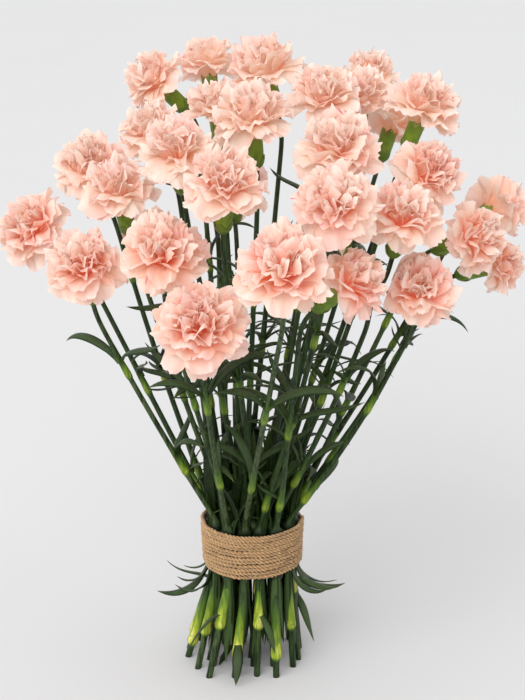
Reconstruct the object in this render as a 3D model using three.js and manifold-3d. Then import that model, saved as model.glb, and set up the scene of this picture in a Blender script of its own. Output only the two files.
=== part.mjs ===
// A hand-tied bunch of carnations that stands on its cut stem ends.
// Millimetres, +Z up. The layout is drawn round the tie's axis, with the floor at z = 0, and the
// finished bunch is shifted so that the origin is the middle of its footprint.
import * as THREE from "three";
import Module from "manifold-3d";

const wasm = await Module();
wasm.setup();

// The tie: turns of twine laid side by side round the stems
const twineThickness = 3.4;
const twineTurns = 13;
const tieBottom = 92;
const tieTop = tieBottom + twineTurns * twineThickness;
const tieMiddle = (tieBottom + tieTop) / 2;
const leanStart = tieTop + 3;
const spreadEnd = tieBottom - 6;
const tieInnerRadius = 42.5;
const tieOuterRadius = tieInnerRadius + twineThickness;
const tieSides = 18;
const grooveDepth = 1.2;

// The clearance that touching pieces keep
const gap = 0.3;

// Stems: radii from the cut end up to the neck, and how far the cut ends spread below the tie
const stemSides = 5;
const footRadius = 3.1;
const tieStemRadius = 2.8;
const neckRadius = 2.2;
const footSpread = 1.36;
const footLean = new THREE.Vector2(-8, 0);
const footScatter = 6;
const rowDepths = [-32, -19.2, -6.4, 6.4, 19.2, 32];
const rowCounts = [4, 6, 6, 6, 6, 4];
const sheathDepth = 4.8;
const sheathInset = 10;
const collarBelow = 2;
const collarAbove = 1;

// Joints: the swollen rings that the leaves grow from
const jointSwell = 1.6;
const jointSpacing = 86;
const jointSpacingRange = 0.2;
const jointTaper = 13;
const jointLip = 2.5;
const jointTaperEnd = 0.3;
const lowestJoint = 12;
const lowestJointRange = 62;
const firstJointAboveTie = 16;
const firstJointRange = 40;
const bareBelowNeck = 34;

// The calyx: the green cup under each head
const calyxLength = 26;
const calyxRadius = 7.0;
const calyxBelly = 0.35;
const neckLength = 26;
const neckFlare = 1;

// Routes: stems bow a little, and are eased apart at levels this far apart
const leastBow = -0.05;
const bowRange = 0.3;
const levelStep = 14;
const stemRoom = 12;
const bloomRoom = 5;
const easingRounds = 60;

// Leaves: they bend through three angles from the stem, at the root, midway and at the tip.
// The joint below the tie has short ones, which hang down unless they stand out at the bunch's
// side, and the topmost joints have lost the most.
// Up to sideTop none stands further out of the bunch's side than sideRoom.
const leafWidth = 7.4;
const leafWidthRange = 0.4;
const leafThickness = 1.3;
const leafSteps = 12;
const leafStations = [0, 4, 8];
const leafRoot = 3;
const leafRise = 1;
const leafShape = [0.35, 2.8, -3.15];
const leafTurns = [0, 25, -25, 50, -50, 75, -75, 100];
const leafRoom = 0.5;
const twineRoom = 1;
const headRoom = 1;
const leafGroups = [
  { levels: 1, shortest: 34, range: 20, share: 0.55 },
  { levels: 3, shortest: 48, range: 34, share: 1 },
  { levels: Infinity, shortest: 42, range: 30, share: 0.8 },
];
const degree = Math.PI / 180;
const arching = [20 * degree, 60 * degree, 130 * degree];
const curling = [35 * degree, 125 * degree, 60 * degree];
const hanging = [80 * degree, 140 * degree, 60 * degree];
const drooping = [110 * degree, 170 * degree, 160 * degree];
const leastAside = 0.7;
const sideSlot = 24;
const sideTop = 290;
const sideRoom = 8;
const archingShare = 0.6;

// Beads that stand for a flower when room is looked for
const beadStep = 3;
const stemBeadRoom = 0.5;

// Petals: five to a layer, each with two shoulders beside the notch to its neighbour
const petalsPerLayer = 5;
const petalPoints = 3;
const layers = [
  { turned: 0, rim: 1.0, rimHeight: 0.2, valley: 0.52, valleyHeight: 0.4, notch: 0.72 },
  { turned: 0.5, rim: 0.95, rimHeight: 0.52, valley: 0.44, valleyHeight: 0.62, notch: 0.7 },
  { turned: 0.2, rim: 0.78, rimHeight: 0.8, valley: 0.34, valleyHeight: 0.8, notch: 0.68 },
  { turned: 0.7, rim: 0.52, rimHeight: 1.02, valley: 0.18, valleyHeight: 0.92, notch: 0.66 },
];
const crownRadius = 0.22;
const crownHeight = 1.1;
const crownDip = 0.98;
const crownTurn = 0.1;
const throatRadius = 0.17;
const ruffle = 0.18;
const rimWave = 0.12;
const shoulderShift = 0.3;
const bloomMiddle = 0.44;
const pressSoftness = 1.6;
const pressReach = 8;
const pressRoom = 1;
const pressNear = 1.1;

// One row per flower: the middle of the head, its width, and the way that it looks
const flowers = [
  { at: [-185, 0, 400], across: 70, looks: [-0.65, -0.42, 0.6] },
  { at: [-140, 40, 445], across: 66, looks: [-0.35, -0.25, 0.9] },
  { at: [-110, -30, 440], across: 66, looks: [-0.2, -0.15, 0.97] },
  { at: [-135, -80, 390], across: 68, looks: [-0.1, -0.42, 0.9] },
  { at: [-70, -115, 410], across: 72, looks: [0, -0.45, 0.9] },
  { at: [-40, -165, 365], across: 76, looks: [0, -0.66, 0.75] },
  { at: [-85, 85, 510], across: 62, looks: [-0.7, -0.15, 0.7] },
  { at: [-40, 140, 515], across: 60, looks: [-0.1, 0.35, 0.9] },
  { at: [10, 85, 520], across: 72, looks: [-0.3, 0.15, 0.93] },
  { at: [-85, 15, 480], across: 60, looks: [-0.4, -0.15, 0.9] },
  { at: [-60, -60, 480], across: 66, looks: [-0.1, -0.3, 0.95] },
  { at: [-20, -120, 465], across: 70, looks: [0.05, -0.25, 0.97] },
  { at: [0, -30, 500], across: 72, looks: [-0.1, -0.08, 0.99] },
  { at: [-30, 40, 495], across: 60, looks: [-0.1, 0, 1] },
  { at: [60, 10, 510], across: 66, looks: [0, -0.12, 0.99] },
  { at: [105, 160, 500], across: 60, looks: [0.1, 0.2, 0.97] },
  { at: [95, 65, 500], across: 62, looks: [0.1, -0.1, 0.99] },
  { at: [145, 20, 500], across: 68, looks: [0.35, -0.05, 0.93] },
  { at: [70, -55, 480], across: 74, looks: [0, -0.3, 0.95] },
  { at: [145, -35, 455], across: 64, looks: [0.6, -0.35, 0.7] },
  { at: [65, -140, 455], across: 70, looks: [-0.05, -0.6, 0.8] },
  { at: [120, -95, 435], across: 66, looks: [0.15, -0.35, 0.93] },
  { at: [25, -195, 420], across: 76, looks: [0, -0.42, 0.9] },
  { at: [80, -130, 390], across: 62, looks: [0.72, -0.2, 0.62] },
  { at: [135, -80, 370], across: 68, looks: [0.05, -0.5, 0.87] },
  { at: [185, -30, 400], across: 62, looks: [0.8, -0.4, 0.4] },
  { at: [215, 60, 405], across: 60, looks: [0.75, 0.55, 0.35] },
  { at: [125, 110, 470], across: 58, looks: [0.3, 0.4, 0.85] },
  { at: [212, 10, 365], across: 54, looks: [0.93, -0.15, 0.3] },
  { at: [-20, 130, 405], across: 68, looks: [-0.1, 0.75, 0.6] },
  { at: [60, 130, 350], across: 66, looks: [0.3, 0.85, 0.4] },
  { at: [-90, 95, 365], across: 68, looks: [-0.6, 0.65, 0.5] },
];

// Neighbours that have grown into one another's sheaths inside the tie: row, and first of the two
const pressedPairs = [[3, 2], [4, 0], [4, 4], [5, 0], [5, 2]];

const colours = { petals: 0xf2b7a4, stems: 0x47673a, twine: 0xb28c60 };

// What each scattered number is for
const seeds = {
  bow: 1,
  lowestJoint: 2,
  firstJoint: 3,
  footX: 5,
  footY: 6,
  roll: 9,
  spacing: 10,
  leafTurn: 20,
  leafKind: 30,
  leafLength: 50,
  leafWidth: 70,
  leafKept: 90,
  petals: 120,
};

// A repeatable scatter from 0 to 1 for the item i and the purpose j, by a usual sine hash
function scatter(i, j) {
  const value = Math.sin(i * 12.9898 + j * 78.233) * 43758.5453;
  return value - Math.floor(value);
}

function vector(x, y, z) {
  return new THREE.Vector3(x, y, z);
}

function alongLine(start, direction, distance) {
  return start.clone().addScaledVector(direction, distance);
}

// Heads are sorted into the tie's rows by depth, and along each row from left to right
function assignSlots() {
  const byDepth = flowers.map((flower, index) => ({ flower, index }));
  byDepth.sort((a, b) => a.flower.at[1] - b.flower.at[1] || a.index - b.index);
  let taken = 0;
  rowCounts.forEach((count, row) => {
    const inRow = byDepth.slice(taken, taken + count);
    inRow.sort((a, b) => a.flower.at[0] - b.flower.at[0]);
    taken += count;
    const chord = 2 * Math.sqrt(tieInnerRadius ** 2 - rowDepths[row] ** 2) - gap;
    const pitch = chord / count;
    inRow.forEach(({ flower }, column) => {
      flower.row = row;
      flower.column = column;
      flower.halfPitch = pitch / 2;
      flower.left = pitch / 2 - gap / 2;
      flower.right = pitch / 2 - gap / 2;
      flower.slot = vector((column - (count - 1) / 2) * pitch, rowDepths[row], tieMiddle);
    });
  });
}

// The neighbours of each pressed pair reach past the middle between them
function pressPairs() {
  pressedPairs.forEach(([row, column]) => {
    const inRow = flowers.filter((flower) => flower.row === row);
    const first = inRow.find((flower) => flower.column === column);
    const second = inRow.find((flower) => flower.column === column + 1);
    first.right = first.halfPitch + gap;
    second.left = second.halfPitch + gap;
    first.partner = second;
    second.isPartner = true;
  });
}

// The straight parts of a flower: head, calyx, neck, tie slot and cut end
function layOutFlower(flower, index) {
  flower.index = index;
  flower.radius = flower.across / 2;
  flower.centre = vector(...flower.at);
  flower.facing = vector(...flower.looks).normalize();
  flower.calyxTop = alongLine(flower.centre, flower.facing, -bloomMiddle * flower.radius);
  flower.calyxBase = alongLine(flower.calyxTop, flower.facing, -calyxLength);
  const rise = flower.calyxBase.clone().sub(flower.slot).normalize();
  const bend = rise.add(flower.facing).normalize();
  flower.neck = alongLine(flower.calyxBase, bend, -neckLength);
  flower.foot = vector(
    flower.slot.x * footSpread + footLean.x + footScatter * (scatter(index, seeds.footX) - 0.5),
    flower.slot.y * footSpread + footLean.y + footScatter * (scatter(index, seeds.footY) - 0.5),
    0,
  );
}

// The first course of a stem above the tie, bowed a little, as points on even levels
function firstCourse(flower) {
  const steps = Math.max(3, Math.round((flower.neck.z - leanStart) / levelStep));
  const bow = leastBow + bowRange * scatter(flower.index, seeds.bow);
  const course = [];
  for (let i = 0; i <= steps; i += 1) {
    const u = i / steps;
    const reach = u + bow * u * (1 - u);
    course.push(vector(
      flower.slot.x + (flower.neck.x - flower.slot.x) * reach,
      flower.slot.y + (flower.neck.y - flower.slot.y) * reach,
      leanStart + (flower.neck.z - leanStart) * u,
    ));
  }
  return course;
}

// The place where a course crosses a level, or null above its end
function crossing(course, z) {
  const top = course[course.length - 1].z;
  if (z < leanStart || z > top) return null;
  const place = ((z - leanStart) / (top - leanStart)) * (course.length - 1);
  const i = Math.min(Math.floor(place), course.length - 2);
  return course[i].clone().lerp(course[i + 1], place - i);
}

// How far a point is pushed from another in the level plane to keep the given distance
function sidePush(point, other, room) {
  const away = new THREE.Vector2(point.x - other.x, point.y - other.y);
  const distance = Math.max(away.length(), 0.001);
  return away.multiplyScalar(Math.max(0, room - distance) / distance);
}

function roundRoom(point, centre, radius) {
  const rise = point.z - centre.z;
  return Math.sqrt(Math.max(0, radius * radius - rise * rise));
}

// Half of what moves a point of one flower's stem clear of another flower's stem, head and calyx
function easingFrom(other, point) {
  const shift = new THREE.Vector2();
  const beside = crossing(other.course, point.z);
  if (beside) shift.addScaledVector(sidePush(point, beside, stemRoom), 0.5);
  const aside = roundRoom(point, other.centre, other.radius + bloomRoom);
  shift.addScaledVector(sidePush(point, other.centre, aside), 0.5);
  const cup = other.calyxTop.clone().lerp(other.calyxBase, 0.5);
  const cupRoom = roundRoom(point, cup, calyxLength / 2 + calyxRadius);
  return shift.addScaledVector(sidePush(point, cup, cupRoom), 0.5);
}

// Moves the course of one stem, smoothly along it, with both of its ends kept
function easeCourse(flower) {
  const { course } = flower;
  const shifts = course.map(() => new THREE.Vector2());
  for (let i = 1; i < course.length - 1; i += 1) {
    flowers.forEach((other) => {
      if (other !== flower) shifts[i].add(easingFrom(other, course[i]));
    });
  }
  for (let i = 1; i < course.length - 1; i += 1) {
    const before = shifts[i - 1];
    const after = shifts[i + 1];
    course[i].x += 0.5 * shifts[i].x + 0.25 * (before.x + after.x);
    course[i].y += 0.5 * shifts[i].y + 0.25 * (before.y + after.y);
  }
}

function easeApart() {
  flowers.forEach((flower) => {
    flower.course = firstCourse(flower);
  });
  for (let round = 0; round < easingRounds; round += 1) flowers.forEach(easeCourse);
}

// The stem's middle line at any height from the cut end up to the neck
function stemPoint(flower, z) {
  if (z >= leanStart) return crossing(flower.course, z) || flower.neck.clone();
  if (z >= spreadEnd) return vector(flower.slot.x, flower.slot.y, z);
  const u = z / spreadEnd;
  return vector(
    flower.foot.x + (flower.slot.x - flower.foot.x) * u,
    flower.foot.y + (flower.slot.y - flower.foot.y) * u,
    z,
  );
}

function stemDirection(flower, z) {
  const reach = 6;
  const above = Math.min(z + reach, flower.neck.z);
  const below = Math.max(z - reach, 0);
  return stemPoint(flower, above).sub(stemPoint(flower, below)).normalize();
}

// The neck's curve from the end of the course into the calyx
function neckPoint(flower, u) {
  const corner = alongLine(flower.calyxBase, flower.facing, -neckLength / 2);
  const lower = flower.neck.clone().lerp(corner, u);
  const upper = corner.lerp(flower.calyxBase, u);
  return lower.lerp(upper, u);
}

// The heights of a stem's joints: one below the tie, the others from just above it to the neck
function jointHeights(flower) {
  const heights = [lowestJoint + lowestJointRange * scatter(flower.index, seeds.lowestJoint)];
  let z = tieTop + firstJointAboveTie + firstJointRange * scatter(flower.index, seeds.firstJoint);
  while (z < flower.neck.z - bareBelowNeck) {
    heights.push(z);
    const varied = scatter(flower.index, seeds.spacing + heights.length) - 0.5;
    z += jointSpacing * (1 + jointSpacingRange * varied);
  }
  return heights;
}

function stemRadius(flower, z) {
  if (z < tieMiddle) return footRadius + (tieStemRadius - footRadius) * (z / tieMiddle);
  return tieStemRadius + (neckRadius - tieStemRadius) * ((z - tieMiddle) / (flower.neck.z - tieMiddle));
}

// Where a stem's thickness changes, from the cut end to the neck, as height and radius
function stemStations(flower) {
  const [low, ...high] = jointHeights(flower);
  const jointAt = (z) => {
    const radius = stemRadius(flower, z);
    return [[z - jointLip, radius], [z, radius + jointSwell]];
  };
  return {
    below: [...jointAt(low), [tieBottom - collarBelow, stemRadius(flower, tieBottom)]],
    above: [
      [tieTop - collarAbove, stemRadius(flower, tieTop)],
      ...high.flatMap((z) => [
        ...jointAt(z),
        [z + jointTaper, stemRadius(flower, z) + jointTaperEnd],
      ]),
      [flower.neck.z, neckRadius],
    ],
  };
}

// The radius of a stem with its joints at any height
function radiusAt(flower, z) {
  const { below, above } = stemStations(flower);
  const stations = [[0, footRadius], ...below, ...above];
  const next = stations.findIndex((station) => station[0] > z);
  if (next < 1) return neckRadius;
  const [lowZ, lowRadius] = stations[next - 1];
  const [highZ, highRadius] = stations[next];
  return lowRadius + ((highRadius - lowRadius) * (z - lowZ)) / (highZ - lowZ);
}

// A ring of points round a place on the stem, square to the given direction
function ringPoints(centre, direction, radius) {
  const along = vector(1, 0, 0).addScaledVector(direction, -direction.x).normalize();
  const across = direction.clone().cross(along);
  const points = [];
  for (let i = 0; i < stemSides; i += 1) {
    const angle = (2 * Math.PI * i) / stemSides;
    const point = alongLine(centre, along, radius * Math.cos(angle));
    points.push(alongLine(point, across, radius * Math.sin(angle)));
  }
  return points;
}

// The wrapped sheaths inside the tie: five sides that reach the neighbours and fit in the ring
function sheathPoints(flower, z) {
  const leftmost = Math.cos(Math.PI / stemSides);
  const points = [];
  for (let i = 0; i < stemSides; i += 1) {
    const angle = (2 * Math.PI * i) / stemSides;
    const side = Math.cos(angle);
    const reach = side < 0 ? (side / leftmost) * flower.left : side * flower.right;
    const y = flower.slot.y + Math.sin(angle) * sheathDepth;
    const wall = Math.sqrt((tieInnerRadius - gap) ** 2 - y * y);
    const x = Math.min(Math.max(flower.slot.x + reach, -wall), wall);
    points.push(vector(x, y, z));
  }
  return points;
}

// A closed surface through rings from the bottom up. A ring holds its points, counterclockwise
// from above, and the share of a turn at which the first one stands.
function surfaceOf(rings) {
  const vertices = rings.flatMap((ring) => ring.points);
  const triangles = [];
  const first = rings[0].points.length;
  for (let i = 1; i < first - 1; i += 1) triangles.push([0, i + 1, i]);
  let low = 0;
  for (let r = 0; r + 1 < rings.length; r += 1) {
    const lowCount = rings[r].points.length;
    const highCount = rings[r + 1].points.length;
    const high = low + lowCount;
    const offset = Math.round((rings[r].start - rings[r + 1].start) * highCount);
    const lead = rings[r + 1].start + offset / highCount - rings[r].start;
    const lowAt = (i) => low + (i % lowCount);
    const highAt = (j) => high + ((((j + offset) % highCount) + highCount) % highCount);
    let i = 0;
    let j = 0;
    const highSteps = highCount > 1 ? highCount : 0;
    while (i < lowCount || j < highSteps) {
      const lowNext = (i + 0.5) / lowCount;
      const highNext = lead + (j + 0.5) / highCount;
      if (i < lowCount && (j >= highSteps || lowNext <= highNext)) {
        triangles.push([lowAt(i), lowAt(i + 1), highAt(j)]);
        i += 1;
      } else {
        triangles.push([lowAt(i), highAt(j + 1), highAt(j)]);
        j += 1;
      }
    }
    low = high;
  }
  const last = rings[rings.length - 1].points.length;
  for (let i = 1; i < last - 1; i += 1) triangles.push([low, low + i, low + i + 1]);
  return { vertices, triangles };
}

function solidOf({ vertices, triangles }) {
  const mesh = new wasm.Mesh({
    numProp: 3,
    vertProperties: new Float32Array(vertices.flatMap((v) => [v.x, v.y, v.z])),
    triVerts: new Uint32Array(triangles.flat()),
  });
  return new wasm.Manifold(mesh);
}

function geometryOf(positions, indices) {
  const geometry = new THREE.BufferGeometry();
  geometry.setAttribute("position", new THREE.Float32BufferAttribute(positions, 3));
  geometry.setIndex(Array.from(indices));
  geometry.computeVertexNormals();
  return geometry;
}

// One stem with its joints, the sheaths in the tie, its neck and its calyx
function stemSurface(flower) {
  const rings = [];
  const addRing = (points) => {
    rings.push({ points, start: 0 });
  };
  const ringAt = ([z, radius]) => {
    addRing(ringPoints(stemPoint(flower, z), stemDirection(flower, z), radius));
  };
  const { below, above } = stemStations(flower);
  addRing(ringPoints(flower.foot, vector(0, 0, 1), footRadius));
  below.forEach(ringAt);
  addRing(sheathPoints(flower, tieBottom + sheathInset));
  addRing(sheathPoints(flower, tieTop - sheathInset));
  above.forEach(ringAt);
  const halfway = neckPoint(flower, 0.5);
  const turn = neckPoint(flower, 0.6).sub(neckPoint(flower, 0.4)).normalize();
  addRing(ringPoints(halfway, turn, neckRadius));
  const cup = (height, radius) => {
    const place = alongLine(flower.calyxBase, flower.facing, height);
    addRing(ringPoints(place, flower.facing, radius));
  };
  cup(0, neckRadius + neckFlare);
  cup(calyxLength * calyxBelly, calyxRadius);
  cup(calyxLength - gap, calyxRadius);
  return surfaceOf(rings);
}

// A leaf's middle line: it leaves the stem at one angle and bends through the others to its tip
function leafLine(flower, z, turn, angles, length) {
  const up = stemDirection(flower, z);
  const ahead = vector(Math.cos(turn), Math.sin(turn), 0);
  const out = ahead.addScaledVector(up, -ahead.dot(up)).normalize();
  const points = [stemPoint(flower, z)];
  for (let i = 0; i < leafSteps; i += 1) {
    const u = (i + 0.5) / leafSteps;
    const [start, middle, end] = angles;
    const angle = start * (1 - u) ** 2 + 2 * middle * u * (1 - u) + end * u ** 2;
    const step = up.clone().multiplyScalar(Math.cos(angle));
    step.addScaledVector(out, Math.sin(angle));
    points.push(alongLine(points[i], step, length / leafSteps));
  }
  return { points, side: up.clone().cross(out) };
}

// A leaf is widest near its middle, and its tip is a point
function leafHalfWidth(width, u) {
  const [root, rise, fall] = leafShape;
  return 0.5 * width * (root + rise * u + fall * u * u);
}

function leafSurface(line, width) {
  const rings = leafStations.map((i) => {
    const before = line.points[Math.max(i - 1, 0)];
    const along = line.points[i + 1].clone().sub(before).normalize();
    const keel = line.side.clone().cross(along);
    const half = leafHalfWidth(width, i / leafSteps);
    const points = [
      alongLine(line.points[i], line.side, -half),
      alongLine(line.points[i], keel, leafThickness),
      alongLine(line.points[i], line.side, half),
    ];
    return { points, start: 0 };
  });
  rings.push({ points: [line.points[leafSteps]], start: 0 });
  return surfaceOf(rings);
}

// Beads along a flower stand for it when room is looked for: place and radius
function beadsOf(flower) {
  const beads = [];
  for (let z = 0; z <= flower.neck.z; z += beadStep) {
    beads.push([stemPoint(flower, z), radiusAt(flower, z) + stemBeadRoom]);
  }
  for (let z = tieBottom + sheathInset / 2; z < tieTop; z += beadStep) {
    beads.push([stemPoint(flower, z), flower.halfPitch]);
  }
  [0, 0.25, 0.5, 0.75, 1].forEach((u) => {
    const cup = flower.calyxBase.clone().lerp(flower.calyxTop, u);
    beads.push([neckPoint(flower, u), neckRadius + stemBeadRoom], [cup, calyxRadius + gap]);
  });
  return beads;
}

function insideTwine(point, radius) {
  const reach = Math.hypot(point.x, point.y);
  const room = radius + twineRoom;
  const level = point.z + room > tieBottom && point.z - room < tieTop;
  return level && reach + room > tieInnerRadius && reach - room < tieOuterRadius;
}

// Whether a point lies further out than the bunch's outermost stem on that side
function standsOut(point) {
  if (point.z < tieTop || point.z > sideTop) return false;
  const reach = Math.hypot(point.x, point.y);
  const stems = flowers.filter((flower) => flower.neck.z > point.z).map((flower) => {
    const place = stemPoint(flower, point.z);
    return (place.x * point.x + place.y * point.y) / reach;
  });
  return reach > Math.max(...stems) + sideRoom;
}

function leafHasRoom(line, width, flower, beads, leafBeads) {
  if (line.points.some(standsOut)) return false;
  return line.points.every((point, i) => {
    const radius = Math.max(leafHalfWidth(width, i / leafSteps), leafThickness) + leafRoom;
    if (point.z < radius) return false;
    if (insideTwine(point, radius)) return false;
    const meets = ([place, size]) => place.distanceTo(point) < size + radius;
    const others = beads.some((list, index) => index !== flower.index && list.some(meets));
    if (others) return false;
    const heads = flowers.some((other) => meets([other.centre, other.radius + headRoom]));
    if (heads) return false;
    const atRoot = i < leafRoot;
    return !leafBeads.some((bead) => meets(bead) && !(atRoot && bead[2] === flower));
  });
}

// The two leaves of a joint, on opposite sides, without the one that has fallen or been stripped
function leafPlans(flower, z, level) {
  const group = leafGroups.find(({ levels }) => level < levels);
  const first = 2 * Math.PI * scatter(flower.index, seeds.leafTurn + level);
  const drawn = [0, 1].map((side) => {
    const draw = (seed) => scatter(flower.index, seed + 2 * level + side);
    const upright = draw(seeds.leafKind) < archingShare ? arching : curling;
    const turn = first + side * Math.PI;
    const aside = Math.cos(turn) * Math.sign(flower.slot.x) > leastAside;
    const lowest = aside && Math.abs(flower.slot.x) > sideSlot ? hanging : drooping;
    return {
      z: z + jointTaper + leafRise,
      turn,
      angles: level === 0 ? lowest : upright,
      length: group.shortest + group.range * draw(seeds.leafLength),
      width: leafWidth * (1 + leafWidthRange * (draw(seeds.leafWidth) - 0.5)),
      kept: draw(seeds.leafKept) < group.share,
    };
  });
  return drawn.filter((plan) => plan.kept);
}

// Turns each leaf to where it has room, and leaves out the one that finds none
function growLeaves(beads) {
  const leafBeads = [];
  flowers.forEach((flower) => {
    flower.leaves = [];
    jointHeights(flower).flatMap((z, level) => leafPlans(flower, z, level)).forEach((plan) => {
      const { z, turn, angles, length, width } = plan;
      const found = leafTurns
        .map((more) => leafLine(flower, z, turn + more * degree, angles, length))
        .find((line) => leafHasRoom(line, width, flower, beads, leafBeads));
      if (!found) return;
      flower.leaves.push(leafSurface(found, width));
      found.points.forEach((point, i) => {
        leafBeads.push([point, leafHalfWidth(width, i / leafSteps) + leafRoom, flower]);
      });
    });
  });
}

// The half-spaces that a head's petals stay in: up to the heads and stems that press on it
function pressesOn(flower, beads) {
  const presses = [];
  flowers.forEach((other, index) => {
    if (other === flower) return;
    const between = other.centre.clone().sub(flower.centre);
    const distance = between.length();
    const share = flower.radius / (flower.radius + other.radius);
    if (distance < flower.radius + other.radius + pressReach) {
      presses.push({ toward: between.normalize(), limit: distance * share - gap / 2 });
    }
    beads[index].forEach(([place, size]) => {
      const toward = place.clone().sub(flower.centre);
      const room = toward.length() - size - pressRoom;
      if (room < flower.radius * pressNear) presses.push({ toward: toward.normalize(), limit: room });
    });
  });
  return presses;
}

// Pulls a point of a head back from whatever presses on it
function pressed(point, flower, presses) {
  const moved = point.clone();
  presses.forEach(({ toward, limit }) => {
    const reach = moved.clone().sub(flower.centre).dot(toward);
    const over = Math.exp((reach - limit) / pressSoftness);
    const back = pressSoftness * Math.log(1 + over);
    moved.addScaledVector(toward, -back);
  });
  return moved;
}

// A head: layers of notched petals one above the other round a throat, in its own frame
function bloomRings(flower) {
  const radius = flower.radius;
  const ringOf = (count, start, place) => ({
    points: Array.from({ length: count }, (_, i) => place(i)),
    start,
  });
  const polar = (angle, reach, height) => vector(
    radius * reach * Math.cos(angle),
    radius * reach * Math.sin(angle),
    radius * height,
  );
  const turn = 2 * Math.PI;
  const flatRing = (start, reach, height) => ringOf(petalsPerLayer, start, (i) => (
    polar(turn * (start + i / petalsPerLayer), reach, height)
  ));
  const rings = [flatRing(0, throatRadius, 0)];
  layers.forEach((layer, level) => {
    const start = layer.turned / petalsPerLayer;
    const count = petalsPerLayer * petalPoints;
    rings.push(ringOf(count, start, (i) => {
      const notch = i % petalPoints === 0;
      const wave = scatter(flower.index * count + i, seeds.petals + level) - 0.5;
      return polar(
        turn * (start + (i + shoulderShift * wave) / count),
        layer.rim * (notch ? layer.notch : 1) * (1 + rimWave * wave),
        layer.rimHeight + ruffle * wave,
      );
    }));
    rings.push(flatRing(start, layer.valley, layer.valleyHeight));
  });
  rings.push(flatRing(crownTurn, crownRadius, crownHeight));
  rings.push(ringOf(1, 0, () => polar(0, 0, crownDip)));
  return rings;
}

function bloomMesh(flower, beads) {
  const mesh = new THREE.Mesh();
  mesh.name = `bloom_${String(flower.index + 1).padStart(2, "0")}`;
  mesh.position.copy(flower.calyxTop);
  const roll = new THREE.Quaternion().setFromAxisAngle(
    vector(0, 0, 1),
    2 * Math.PI * scatter(flower.index, seeds.roll),
  );
  mesh.quaternion.setFromUnitVectors(vector(0, 0, 1), flower.facing).multiply(roll);
  mesh.updateMatrixWorld();
  const presses = pressesOn(flower, beads);
  const fitted = (point) => (
    mesh.worldToLocal(pressed(mesh.localToWorld(point), flower, presses))
  );
  const [throat, ...petals] = bloomRings(flower);
  const { vertices, triangles } = surfaceOf([
    throat,
    ...petals.map(({ points, start }) => ({ points: points.map(fitted), start })),
  ]);
  mesh.geometry = geometryOf(vertices.flatMap((v) => [v.x, v.y, v.z]), triangles.flat());
  mesh.material = new THREE.MeshStandardMaterial({ color: colours.petals, roughness: 0.7 });
  return mesh;
}

// A node of one stem, or of two that are pressed together in the tie
function stemMesh(members) {
  const solids = members.flatMap((flower) => [stemSurface(flower), ...flower.leaves]);
  const joined = solids.map(solidOf).reduce((whole, solid) => whole.add(solid));
  const { vertProperties, triVerts } = joined.getMesh();
  const mesh = new THREE.Mesh(
    geometryOf(vertProperties, triVerts),
    new THREE.MeshStandardMaterial({ color: colours.stems, roughness: 0.6 }),
  );
  const numbers = members.map((flower) => String(flower.index + 1).padStart(2, "0"));
  mesh.name = `${members.length > 1 ? "stems" : "stem"}_${numbers.join("_")}`;
  return mesh;
}

function stemMeshes() {
  const firsts = flowers.filter((flower) => !flower.isPartner);
  return firsts.map((flower) => stemMesh(flower.partner ? [flower, flower.partner] : [flower]));
}

// The tie: a ring whose outer side has a rounded rib for each turn of the twine
function twineMesh() {
  const inner = tieInnerRadius / Math.cos(Math.PI / tieSides);
  const profile = [new THREE.Vector2(inner, tieBottom)];
  for (let turn = 0; turn < twineTurns; turn += 1) {
    const middle = tieBottom + (turn + 0.5) * twineThickness;
    if (turn > 0) {
      profile.push(new THREE.Vector2(tieOuterRadius - grooveDepth, middle - twineThickness / 2));
    }
    profile.push(new THREE.Vector2(tieOuterRadius, middle));
  }
  profile.push(new THREE.Vector2(inner, tieTop));
  profile.push(profile[0].clone());
  const geometry = new THREE.LatheGeometry(profile, tieSides);
  geometry.rotateX(Math.PI / 2);
  const mesh = new THREE.Mesh(
    geometry,
    new THREE.MeshStandardMaterial({ color: colours.twine, roughness: 0.9 }),
  );
  mesh.name = "twine";
  return mesh;
}

assignSlots();
pressPairs();
flowers.forEach(layOutFlower);
easeApart();
const beads = flowers.map(beadsOf);
growLeaves(beads);

const bunch = new THREE.Group();
bunch.add(...flowers.map((flower) => bloomMesh(flower, beads)));
bunch.add(...stemMeshes());
bunch.add(twineMesh());

// The origin goes to the middle of the footprint, on the floor
const extent = new THREE.Box3().setFromObject(bunch, true);
bunch.position.set(
  -(extent.min.x + extent.max.x) / 2,
  -(extent.min.y + extent.max.y) / 2,
  -extent.min.z,
);

export default bunch;
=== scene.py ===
import math
from collections import namedtuple
from types import SimpleNamespace

import bpy
import numpy as np
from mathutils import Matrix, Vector


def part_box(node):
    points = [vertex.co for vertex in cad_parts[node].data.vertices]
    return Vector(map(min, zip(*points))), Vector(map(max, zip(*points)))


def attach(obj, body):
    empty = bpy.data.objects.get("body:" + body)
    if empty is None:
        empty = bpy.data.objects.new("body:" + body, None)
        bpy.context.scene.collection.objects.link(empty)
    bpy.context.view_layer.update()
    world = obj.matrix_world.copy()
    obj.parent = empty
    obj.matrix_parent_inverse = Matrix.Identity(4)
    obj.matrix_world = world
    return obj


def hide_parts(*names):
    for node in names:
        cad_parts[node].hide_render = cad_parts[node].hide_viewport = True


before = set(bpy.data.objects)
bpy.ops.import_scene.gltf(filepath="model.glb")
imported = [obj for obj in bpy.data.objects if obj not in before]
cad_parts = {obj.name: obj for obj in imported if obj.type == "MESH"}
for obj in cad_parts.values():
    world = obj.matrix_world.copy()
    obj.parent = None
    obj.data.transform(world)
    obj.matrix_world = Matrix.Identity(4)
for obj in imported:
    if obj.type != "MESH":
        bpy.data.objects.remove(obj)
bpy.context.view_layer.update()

# The layout below is in millimetres round the tie's axis, with the floor at z = 0, and repeats the
# part's own layout. mesh_piece turns it into metres in the frame.
MM = 0.001
tie_low, tie_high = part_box("twine")
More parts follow.
